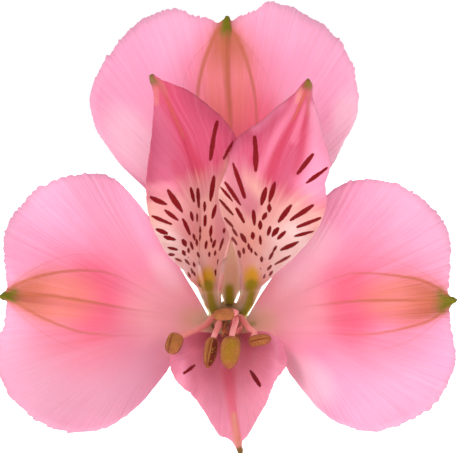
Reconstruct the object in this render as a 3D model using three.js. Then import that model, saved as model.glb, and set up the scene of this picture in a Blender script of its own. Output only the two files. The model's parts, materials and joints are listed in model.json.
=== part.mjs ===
// Single alstroemeria (Peruvian lily) bloom, picked on its own pedicel and lying on its side.
// Millimetres, +Z up, the flower's face towards -Y and tilted a little upwards.
// It rests on the lowest rim of each side tepal and on the cut end of the pedicel.
//
// The tepals, stamens, style and ovary are drawn in the face frame: u to the right, v up the
// face, w straight out of it, with the origin where the tepals join the ovary.

import * as THREE from 'three';

// ---- Driving dimensions --------------------------------------------------------------------

const FACE_TILT = THREE.MathUtils.degToRad(11); // how far the face looks up from level
const FACE_ORIGIN = new THREE.Vector3(0.24, 2.19, 11.53); // place of the face frame's origin

const SEAT_GAP = 0.3; // clearance where two pieces meet
const BLADE_THICKNESS = 0.7;
const OUTER_RING_RADIUS = 3; // rings on the ovary that the two whorls of tepals stand on
const INNER_RING_RADIUS = 2.6;
const STAMEN_RING_RADIUS = 1.3;

const FILAMENT_RADIUS = 0.48;
const FILAMENT_TAPER = 0.25; // share of the radius lost on the way to the anther
const ANTHER_FLATNESS = 0.85; // thickness over width
const ANTHER_BLUNTNESS = 0.09; // share of the outline's half wave left out at each end
const ANTHER_FULLNESS = 0.65; // power of that half wave: the lower, the squarer the anther
const ANTHER_GROOVE = 0.1; // depth of the slit down each side, as a share of the width
const GROOVE_SHARPNESS = 8;

const OVARY_LENGTH = 9;
const OVARY_RADIUS = 3.3;
const OVARY_RIBS = 6;
const OVARY_SHOULDER = 1.6; // the higher, the later the ovary narrows to the pedicel
const RIB_RELIEF = 0.08; // height of the ribs, as a share of the radius
const RIB_HEIGHT_AT_TOP = 0.2; // share of the half wave along the ribs that is cut off there
const PEDICEL_RADIUS = 1.5;
const PEDICEL_LENGTH = 42;
const PEDICEL_SWAY = 1.2; // sideways bow of the pedicel

const BLADE_ROWS = 8; // cells from claw to rim
const CELLS_PER_RIM_SPAN = 2; // cells between two rim points
const RIM_TENSION = 0.5;
const NORMAL_STEP = 1e-3; // in s and t, for the blade's normals

const SWEEPS = {
  filament: { steps: 12, sides: 6 },
  anther: { steps: 7, sides: 12 },
  style: { steps: 12, sides: 9 },
  ovary: { steps: 7, sides: 4 * OVARY_RIBS },
  pedicel: { steps: 16, sides: 10 },
};

// ---- Tepals --------------------------------------------------------------------------------
// Each blade is a fan: a short row on the ring, two control rows of three points (throat and
// bend) and the rim, whose middle point is the tip. Points are [u, v, w], and each row runs
// counter-clockwise round the flower's axis as seen from the front. ruffle is the height of
// the waves along the rim.

const TEPALS = {
  outer_tepal_top: {
    whorl: 'outer',
    angle: 87,
    clawHalfAngle: 18,
    throat: [[1.7, 3.8, 10], [0.3, 4.4, 13], [-0.8, 3.8, 10]],
    bend: [[4.5, 9, 18.5], [0, 24, 25], [-3.8, 9, 18.5]],
    rim: [
      [11, 17, 20.5], [15.6, 23.4, 22.5], [18.5, 28.5, 24], [20.6, 33.5, 24], [20.3, 38.8, 24],
      [18.6, 43.6, 22.5], [14.2, 48.3, 23], [7.6, 51, 22.5], [3.7, 49.5, 24], [0.9, 48.5, 25],
      [-0.4, 48.8, 25.5],
      [-1.7, 48.1, 25], [-4.4, 48.7, 24], [-9.2, 50, 22], [-14.4, 47.9, 22.5], [-19.2, 42.5, 22],
      [-22.1, 36.6, 23.5], [-21.3, 31.4, 23.5], [-17.8, 26, 23.5], [-13.4, 21.2, 22],
      [-9, 15.5, 20],
    ],
    ruffle: 0.5,
    waves: 7,
  },
  outer_tepal_left: {
    whorl: 'outer',
    angle: 210,
    clawHalfAngle: 20,
    throat: [[-3.3, 2.1, 12], [-4.6, -0.4, 17], [-4.4, -2.6, 16]],
    bend: [[-6, 5, 21], [-17, 2, 34], [-8.5, -5, 26]],
    rim: [
      [-10.2, 13.3, 24], [-14.6, 19.4, 26.5], [-18.8, 23, 28.5], [-23.5, 23.5, 30.5],
      [-28.8, 22, 32.5], [-33, 18.5, 33.5], [-35.7, 14, 34.5], [-35.4, 8.5, 36], [-35.4, 5.6, 37],
      [-36.1, 4.3, 37.5],
      [-35.3, 3.2, 37], [-35.4, 0.6, 36.5], [-36.6, -4.5, 35], [-36, -9.5, 34],
      [-32.5, -13.8, 32], [-27, -17.1, 30.5], [-21, -17.3, 30], [-15, -14, 29], [-9.8, -8, 27],
    ],
    ruffle: 0.5,
    waves: 6,
  },
  outer_tepal_right: {
    whorl: 'outer',
    angle: 330,
    clawHalfAngle: 20,
    throat: [[4.4, -2.6, 16], [4.6, -0.4, 17], [3.4, 2.3, 12]],
    bend: [[8.5, -5, 26], [17, 2, 34], [6.3, 5.2, 21]],
    rim: [
      [9.8, -8.2, 27], [14.6, -14, 29], [20.5, -17.2, 30], [26.3, -17, 30.5],
      [32.3, -13.6, 32], [35.5, -8.5, 34], [36.1, -4.5, 35], [35.4, 0.2, 36.5], [35.3, 2.2, 37],
      [36.1, 3.2, 37.5],
      [35, 4.8, 37], [35.2, 8, 36], [35.5, 13, 34.5], [33.4, 17, 33.5], [29.2, 20.9, 32.5],
      [24, 22.5, 30.5], [18.7, 22.2, 28.5], [14.6, 18.8, 26.5], [10.6, 13, 24],
    ],
    ruffle: 0.5,
    waves: 6,
  },
  inner_tepal_upper_left: {
    whorl: 'inner',
    angle: 143,
    clawHalfAngle: 30,
    throat: [[-1, 3, 8], [-3, 4.2, 17], [-3.6, 2, 8]],
    bend: [[-1.5, 4.2, 15], [-6, 17, 33], [-4.2, 4.2, 15]],
    rim: [
      [-1.8, 4.7, 22], [-1.6, 7.2, 26], [-1.1, 10.8, 29], [0.2, 14.5, 30.5], [1.7, 19.5, 32],
      [2.3, 24.5, 33], [1.4, 29, 34], [-1.6, 32.8, 35], [-6, 36.7, 36.5], [-10.2, 38.5, 38],
      [-12.4, 39.4, 38.5],
      [-12.1, 36.5, 37.5], [-12, 31.5, 36], [-13.1, 26, 35], [-13.4, 20.5, 34],
      [-12.8, 16.7, 33], [-11.3, 13.7, 32], [-9.6, 11.2, 31], [-7.6, 8.5, 29], [-6, 6.6, 26],
      [-4.5, 5.5, 22.5],
    ],
    ruffle: 0.3,
    waves: 4,
  },
  inner_tepal_upper_right: {
    whorl: 'inner',
    angle: 33,
    clawHalfAngle: 28,
    throat: [[3.8, 2, 8.5], [3, 4.2, 18], [1.6, 2.9, 8.5]],
    bend: [[4.7, 4.2, 16], [6.5, 17, 36], [2.3, 4.1, 16]],
    rim: [
      [5, 5.5, 23.5], [6.4, 6.6, 27.5], [8.4, 8.5, 31], [10.9, 10.8, 33.5], [13.8, 13.8, 35],
      [15.8, 18.4, 36], [15.6, 22, 36.5], [16.2, 25, 37], [15.3, 30.5, 38.5], [13.9, 35.3, 39.5],
      [12.8, 38.7, 40.5],
      [9.7, 35.8, 39.5], [5.8, 32, 38.5], [1.6, 29.2, 37.5], [-0.2, 24.5, 36.5],
      [-1.6, 20.2, 35.5], [-0.9, 16.7, 34.5], [0.5, 13.4, 33.5], [1.6, 10.7, 32],
      [2.2, 7.3, 28.5], [2.5, 4.7, 24],
    ],
    ruffle: 0.3,
    waves: 4,
  },
  inner_tepal_lower: {
    whorl: 'inner',
    angle: 270,
    clawHalfAngle: 25,
    throat: [[-3.2, -1.6, 20], [0, -4.8, 18], [3.3, -1.8, 20]],
    bend: [[-6, -1.2, 32], [0.5, -9, 36], [5.4, -1, 32]],
    rim: [
      [-7.2, -2, 33.5], [-8.8, -4.1, 35], [-9.1, -7, 37], [-7.8, -9.8, 39], [-5.6, -11.3, 41],
      [-3.8, -13.9, 43.5], [-2.6, -16.6, 46], [-1.4, -18.1, 48], [0.5, -18.4, 49],
      [1.7, -21, 51.8],
      [2.1, -18.5, 49], [3.2, -17.4, 47], [4.9, -14.6, 44], [6.3, -12, 42], [7.4, -9.4, 40],
      [9.5, -6.8, 38], [9.3, -4.5, 36], [8.2, -2.8, 34.5], [6.7, -1.8, 33],
    ],
    ruffle: 0.3,
    waves: 4,
  },
};

// ---- Stamens and style ---------------------------------------------------------------------
// Each filament starts on the stamen ring at rootAngle and follows its path to the anther,
// which runs from foot to tip and is width across.

const STAMENS = [
  {
    rootAngle: 150,
    path: [[-2.5, 0.6, 20], [-4, -0.7, 31], [-7.3, -2.1, 37.2]],
    foot: [-8, -1.9, 38],
    tip: [-9.3, -5, 39.5],
    width: 2.9,
  },
  {
    rootAngle: 210,
    path: [[-1.7, -0.5, 20], [-1.4, -0.3, 31], [-2.1, -1.9, 38.4]],
    foot: [-2.4, -2.4, 38.9],
    tip: [-3.3, -7.3, 40.4],
    width: 2.4,
  },
  {
    rootAngle: 280,
    path: [[0.8, -0.4, 16], [1.2, 0.6, 30], [1.2, 0, 37], [0.7, -1.7, 40]],
    foot: [0.6, -2.2, 40.6],
    tip: [0.1, -7.4, 42],
    width: 3.4,
  },
  {
    rootAngle: 90,
    path: [[0.5, 1.6, 20], [1.2, 1.6, 33], [1.1, 1.5, 39], [0.9, 1.45, 40.45]],
    foot: [1, 1.4, 41.5],
    tip: [-2.5, 1.1, 42.6],
    width: 2.1,
  },
  {
    rootAngle: 30,
    path: [[2.2, 0.6, 20], [2.6, 0, 31], [3.4, -1, 35], [4.2, -1.7, 36.3]],
    foot: [3.3, -3.2, 37.2],
    tip: [6.9, -2.5, 38.5],
    width: 2.1,
  },
  {
    rootAngle: 335,
    path: [[1.9, -1, 12], [1.6, -1.4, 20], [1.2, -1.8, 26.4]],
    foot: [1.1, -2.1, 27],
    tip: [0.7, -4.9, 30.5],
    width: 2.2,
  },
];

const STYLE_PATH = [[0, 0, SEAT_GAP], [-0.5, -0.8, 12], [-0.6, -1.9, 26]];
const STYLE_RADIUS = 0.35;
const STIGMA_RADIUS = 0.75;
const STIGMA_START = 0.88; // share of the style's length below the stigma
const STIGMA_LOBES = 3;
const LOBE_DEPTH = 0.3; // as a share of the stigma's radius

// ---- Materials -----------------------------------------------------------------------------

const COLOURS = {
  outer_tepal: 0xf9a6c4,
  inner_tepal: 0xe2627f,
  filament: 0xe68c8c,
  anther: 0xa06a2c,
  style: 0xd89a86,
  ovary: 0x7f8f3a,
  pedicel: 0x7d9a44,
};

function material(piece) {
  return new THREE.MeshStandardMaterial({ color: COLOURS[piece], roughness: 0.6, metalness: 0 });
}

// ---- Curves and surfaces -------------------------------------------------------------------

const RIGHT = new THREE.Vector3(1, 0, 0);
const FORWARD = new THREE.Vector3(0, 0, 1);

const vector = (point) => new THREE.Vector3(...point);

// Point just clear of the ovary's flat top, at an angle in degrees.
function ringPoint(radius, degrees) {
  const angle = THREE.MathUtils.degToRad(degrees);
  return new THREE.Vector3(radius * Math.cos(angle), radius * Math.sin(angle), SEAT_GAP);
}

// Parabola through three points, with t from -1 to 1.
function parabolaPoint([first, middle, last], t) {
  return vector(first).multiplyScalar((t * (t - 1)) / 2)
    .addScaledVector(vector(middle), 1 - t * t)
    .addScaledVector(vector(last), (t * (t + 1)) / 2);
}

// Returns the blade's middle surface: s runs from the claw (0) to the rim (1), t across it
// from one flank (-1) over the midrib (0) to the other (1).
function tepalSurface(tepal) {
  const rim = new THREE.CatmullRomCurve3(tepal.rim.map(vector), false, 'catmullrom', RIM_TENSION);
  const ringRadius = tepal.whorl === 'outer' ? OUTER_RING_RADIUS : INNER_RING_RADIUS;
  return (s, t) => {
    const q = 1 - s;
    const wave = tepal.ruffle * s ** 4 * Math.sin(tepal.waves * Math.PI * t);
    const claw = ringPoint(ringRadius, tepal.angle + tepal.clawHalfAngle * t);
    return claw.multiplyScalar(q ** 3)
      .addScaledVector(parabolaPoint(tepal.throat, t), 3 * s * q * q)
      .addScaledVector(parabolaPoint(tepal.bend, t), 3 * s * s * q)
      .addScaledVector(rim.getPoint((t + 1) / 2), s ** 3)
      .add(new THREE.Vector3(0, 0, wave));
  };
}

function surfaceNormal(surface, s, t) {
  const step = NORMAL_STEP;
  const along = surface(Math.min(s + step, 1), t).sub(surface(Math.max(s - step, 0), t));
  const across = surface(s, Math.min(t + step, 1)).sub(surface(s, Math.max(t - step, -1)));
  return along.cross(across).normalize();
}

// Closed blade of even thickness, its front and back faces split into triangles alike.
function bladeGeometry(surface, rows, columns) {
  const positions = [];
  for (const side of [1, -1]) {
    for (let i = 0; i <= rows; i += 1) {
      for (let j = 0; j <= columns; j += 1) {
        const [s, t] = [i / rows, (2 * j) / columns - 1];
        const offset = surfaceNormal(surface, s, t).multiplyScalar((side * BLADE_THICKNESS) / 2);
        positions.push(...surface(s, t).add(offset).toArray());
      }
    }
  }

  const layer = (rows + 1) * (columns + 1);
  const front = (i, j) => i * (columns + 1) + j;
  const back = (i, j) => layer + front(i, j);
  const indices = [];
  const quad = (a, b, c, d) => indices.push(a, b, c, a, c, d);
  for (let i = 0; i < rows; i += 1) {
    for (let j = 0; j < columns; j += 1) {
      quad(front(i, j), front(i + 1, j), front(i + 1, j + 1), front(i, j + 1));
      indices.push(back(i, j), back(i + 1, j + 1), back(i + 1, j));
      indices.push(back(i, j), back(i, j + 1), back(i + 1, j + 1));
    }
  }
  for (let i = 0; i < rows; i += 1) {
    quad(front(i, 0), back(i, 0), back(i + 1, 0), front(i + 1, 0));
    quad(front(i, columns), front(i + 1, columns), back(i + 1, columns), back(i, columns));
  }
  for (let j = 0; j < columns; j += 1) {
    quad(front(0, j), front(0, j + 1), back(0, j + 1), back(0, j));
    quad(front(rows, j), back(rows, j), back(rows, j + 1), front(rows, j + 1));
  }
  return indexedGeometry(positions, indices);
}

// Closed body swept along a curve. radiusAt(f, angle) gives the section's radius at the
// fraction f of the way, with angle 0 towards the reference direction.
function sweptGeometry(curve, { steps, sides }, radiusAt, reference = RIGHT) {
  const positions = [];
  for (let i = 0; i <= steps; i += 1) {
    const f = i / steps;
    const centre = curve.getPoint(f);
    const tangent = curve.getTangent(f);
    const first = reference.clone().projectOnPlane(tangent).normalize();
    const second = tangent.clone().cross(first);
    for (let j = 0; j < sides; j += 1) {
      const angle = (2 * Math.PI * j) / sides;
      const radius = radiusAt(f, angle);
      const point = centre.clone()
        .addScaledVector(first, radius * Math.cos(angle))
        .addScaledVector(second, radius * Math.sin(angle));
      positions.push(...point.toArray());
    }
  }
  positions.push(...curve.getPoint(0).toArray(), ...curve.getPoint(1).toArray());

  const startPole = (steps + 1) * sides;
  const endPole = startPole + 1;
  const indices = [];
  for (let j = 0; j < sides; j += 1) {
    const next = (j + 1) % sides;
    for (let i = 0; i < steps; i += 1) {
      const [a, b] = [i * sides + j, i * sides + next];
      indices.push(a, b, b + sides, a, b + sides, a + sides);
    }
    indices.push(startPole, next, j);
    indices.push(endPole, steps * sides + j, steps * sides + next);
  }
  return indexedGeometry(positions, indices);
}

function indexedGeometry(positions, indices) {
  const geometry = new THREE.BufferGeometry();
  geometry.setAttribute('position', new THREE.Float32BufferAttribute(positions, 3));
  geometry.setIndex(indices);
  geometry.computeVertexNormals();
  return geometry;
}

// ---- Pieces --------------------------------------------------------------------------------

function namedMesh(name, geometry, piece) {
  const mesh = new THREE.Mesh(geometry, material(piece));
  mesh.name = name;
  return mesh;
}

function tepalMesh(name, tepal) {
  const columns = (tepal.rim.length - 1) * CELLS_PER_RIM_SPAN;
  const geometry = bladeGeometry(tepalSurface(tepal), BLADE_ROWS, columns);
  return namedMesh(name, geometry, `${tepal.whorl}_tepal`);
}

function filamentMesh(number, stamen) {
  const root = ringPoint(STAMEN_RING_RADIUS, stamen.rootAngle);
  const path = new THREE.CatmullRomCurve3([root, ...stamen.path.map(vector)]);
  const radius = (f) => FILAMENT_RADIUS * (1 - FILAMENT_TAPER * f);
  return namedMesh(`filament_${number}`, sweptGeometry(path, SWEEPS.filament, radius), 'filament');
}

function antherMesh(number, stamen) {
  const axis = new THREE.LineCurve3(vector(stamen.foot), vector(stamen.tip));
  const section = (f, angle) => {
    const halfWave = Math.sin(Math.PI * THREE.MathUtils.lerp(ANTHER_BLUNTNESS, 1 - ANTHER_BLUNTNESS, f));
    const slit = Math.abs(Math.sin(angle)) ** GROOVE_SHARPNESS * Math.sin(Math.PI * f);
    const flat = Math.hypot(ANTHER_FLATNESS * Math.cos(angle), Math.sin(angle));
    return (stamen.width / 2) * halfWave ** ANTHER_FULLNESS * (flat - ANTHER_GROOVE * slit);
  };
  const geometry = sweptGeometry(axis, SWEEPS.anther, section, FORWARD);
  return namedMesh(`anther_${number}`, geometry, 'anther');
}

function styleMesh() {
  const path = new THREE.CatmullRomCurve3(STYLE_PATH.map(vector));
  const section = (f, angle) => {
    const lobes = 1 - LOBE_DEPTH + LOBE_DEPTH * Math.cos(STIGMA_LOBES * angle);
    const flare = THREE.MathUtils.smoothstep(f, STIGMA_START, 1);
    return THREE.MathUtils.lerp(STYLE_RADIUS, STIGMA_RADIUS * lobes, flare);
  };
  return namedMesh('style', sweptGeometry(path, SWEEPS.style, section), 'style');
}

function ovaryMesh() {
  const axis = new THREE.LineCurve3(vector([0, 0, 0]), vector([0, 0, -OVARY_LENGTH]));
  const section = (f, angle) => {
    const narrowing = Math.cos((Math.PI / 2) * f ** OVARY_SHOULDER);
    const belly = THREE.MathUtils.lerp(PEDICEL_RADIUS, OVARY_RADIUS, narrowing);
    const ribHeight = RIB_RELIEF * Math.sin(Math.PI * THREE.MathUtils.lerp(RIB_HEIGHT_AT_TOP, 1, f));
    return belly * (1 - ribHeight * Math.cos(OVARY_RIBS * angle));
  };
  return namedMesh('ovary', sweptGeometry(axis, SWEEPS.ovary, section), 'ovary');
}

// The pedicel runs on straight behind the ovary and dips until its cut end touches the surface.
function pedicelMesh() {
  const start = -OVARY_LENGTH - SEAT_GAP;
  const end = start - PEDICEL_LENGTH;
  const drop = (FACE_ORIGIN.z + end * Math.sin(FACE_TILT)) / Math.cos(FACE_TILT) - PEDICEL_RADIUS;
  const path = new THREE.CubicBezierCurve3(
    vector([0, 0, start]),
    vector([0, 0, start - PEDICEL_LENGTH / 3]),
    vector([PEDICEL_SWAY, -drop, end + PEDICEL_LENGTH / 3]),
    vector([0, -drop, end]),
  );
  return namedMesh('pedicel', sweptGeometry(path, SWEEPS.pedicel, () => PEDICEL_RADIUS), 'pedicel');
}

// ---- Assembly ------------------------------------------------------------------------------

const flower = new THREE.Group();
for (const [name, tepal] of Object.entries(TEPALS)) {
  flower.add(tepalMesh(name, tepal));
}
STAMENS.forEach((stamen, index) => {
  flower.add(filamentMesh(index + 1, stamen), antherMesh(index + 1, stamen));
});
flower.add(styleMesh(), ovaryMesh(), pedicelMesh());
flower.rotation.x = Math.PI / 2 - FACE_TILT;
flower.position.copy(FACE_ORIGIN);

const bloom = new THREE.Group();
bloom.add(flower);

export default bloom;
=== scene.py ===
"""Finished looks of one alstroemeria bloom on its pedicel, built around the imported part.

The file is laid out as a Blender add-on and is run as a script. Sizes are millimetres in the
face frame (u to the right, v up the face, w out of it, origin where the tepals join the
ovary) until place() turns them into metres in the part's own frame.
"""

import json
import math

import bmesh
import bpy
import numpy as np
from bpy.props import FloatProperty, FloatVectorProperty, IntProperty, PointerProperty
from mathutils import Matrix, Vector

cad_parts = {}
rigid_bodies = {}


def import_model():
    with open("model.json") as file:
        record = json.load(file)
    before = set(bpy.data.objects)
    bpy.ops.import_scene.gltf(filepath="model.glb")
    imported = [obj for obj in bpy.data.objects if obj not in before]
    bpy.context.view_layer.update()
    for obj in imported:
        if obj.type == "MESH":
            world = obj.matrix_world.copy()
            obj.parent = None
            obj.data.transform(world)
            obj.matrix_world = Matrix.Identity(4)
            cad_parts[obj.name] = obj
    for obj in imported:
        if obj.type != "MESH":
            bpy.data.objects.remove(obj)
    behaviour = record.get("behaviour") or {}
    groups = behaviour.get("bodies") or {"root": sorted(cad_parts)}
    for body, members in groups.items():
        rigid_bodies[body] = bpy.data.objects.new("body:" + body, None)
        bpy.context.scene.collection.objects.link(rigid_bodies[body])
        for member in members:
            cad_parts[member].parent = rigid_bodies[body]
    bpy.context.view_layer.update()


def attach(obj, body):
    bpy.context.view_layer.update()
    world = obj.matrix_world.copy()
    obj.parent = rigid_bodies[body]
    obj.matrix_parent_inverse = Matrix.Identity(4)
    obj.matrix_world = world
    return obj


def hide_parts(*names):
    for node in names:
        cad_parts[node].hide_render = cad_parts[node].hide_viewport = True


bl_info = {
    "name": "Alstroemeria Bloom",
    "version": (1, 0, 0),
    "blender": (4, 5, 0),
    "location": "3D View > Sidebar > Bloom",
    "description": "Builds the tepals, stamens, style, ovary, pedicel and stage of one bloom",
    "category": "Add Mesh",
}

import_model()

# ---- Driving dimensions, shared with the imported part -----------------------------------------

MM = 0.001
FACE_TILT = math.radians(11)
FACE_ORIGIN = (0.24, 2.19, 11.53)
SEAT_GAP = 0.3
RING_RADIUS = {"outer": 3.0, "inner": 2.6}
STAMEN_RING_RADIUS = 1.3

OVARY_LENGTH = 9.0
OVARY_RADIUS = 3.3
OVARY_RIBS = 6
PEDICEL_RADIUS = 1.5
PEDICEL_LENGTH = 42.0
PEDICEL_SWAY = 1.2

# ---- Values of the finished look -----------------------------------------------------------------

FOOT_GAP = 0.02  # the finished claws stand on the ovary
FLOOR_GAP = 0.02  # nothing sinks into the floor
FAR = 9.0  # distance given where no marking is near
NOISE_VALUES = 4096  # random values before a noise repeats

# Where a marking has gone and where it is full, as shares of its radius, half width or length.
SPOT_FADE = (1.35, 0.45)
STROKE_FADE = (1.6, 0.3)
VEIN_END = (0.95, 0.3)
VEIN_SIDE = (8, 4)
VEIN_RIDGE = (2.2, 0.6)

VEIN_TAPER = 0.45  # share of its width that a vein loses on its way to the claw
VEIN_SHARES = (0.78, 0.8, 0.72, 0.25, 0.25)  # strength of each vein of an outer tepal
STREAK_GROWTH, STREAK_TRIM = 1.3, 0.16  # from a streak's width below to its finished width
BELOW_TIP = (9.5, 1.3, 0.45)  # the brown wedge under a green tip, as in TIP_WEDGES
DEPTH_DEGREE = 5  # degree of the smooth depth of a blade's open part
TEETH = {"outer": 1, "upper": 0.3, "lower": 0.6}  # share of their height on each kind of tepal
FINE_TEETH = 0.4  # size of the fine teeth over that of the large ones
PLEATS, FINE_PLEATS = 60, 140  # random heights across half a blade
RIM_WAVE, RIM_WAVE_LENGTH = 0.35, 6.5
SWELL, SWELLS = 0.3, 3.1  # height of the broad swells, and random heights across half a blade
FOLD_DEPTH = 0.4
TIP_SWELL = 0.22

FLOOR_RINGS = (0.2, 0.6, 2, 6)  # radii in metres
LAMP_PLACE = (-90, 190, 720)  # in the face frame
LAMP_SIZE = 0.6
AIM_DEPTH = 30  # depth in the face frame of the point that lamp and camera are aimed at
SENSOR_WIDTH = 36

# ---- Tepals ------------------------------------------------------------------------------------
# Each blade is a fan: a short row on the ring, two control rows of three points (throat and bend)
# and the rim, whose middle point is the tip. Points are (u, v, w), counter-clockwise as seen from
# the front. angle and claw say where its foot stands on the ring and half how wide, in degrees.
# lean moves the keel of a blade sideways, and pinch narrows its claw. ruffle is the height of
# its waves. Markings are flat, in (u, v): veins and the fold are lines (width, points), streaks
# are (u, v, u, v, width) from end to end, spots are (centre, radii, turn) and soft strokes are
# (strength, width, width, points). tip and tip_run are the green point and the way it opens,
# pale_line is the upper edge of the pale field and nectar is the middle of the yellow mark.

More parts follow.
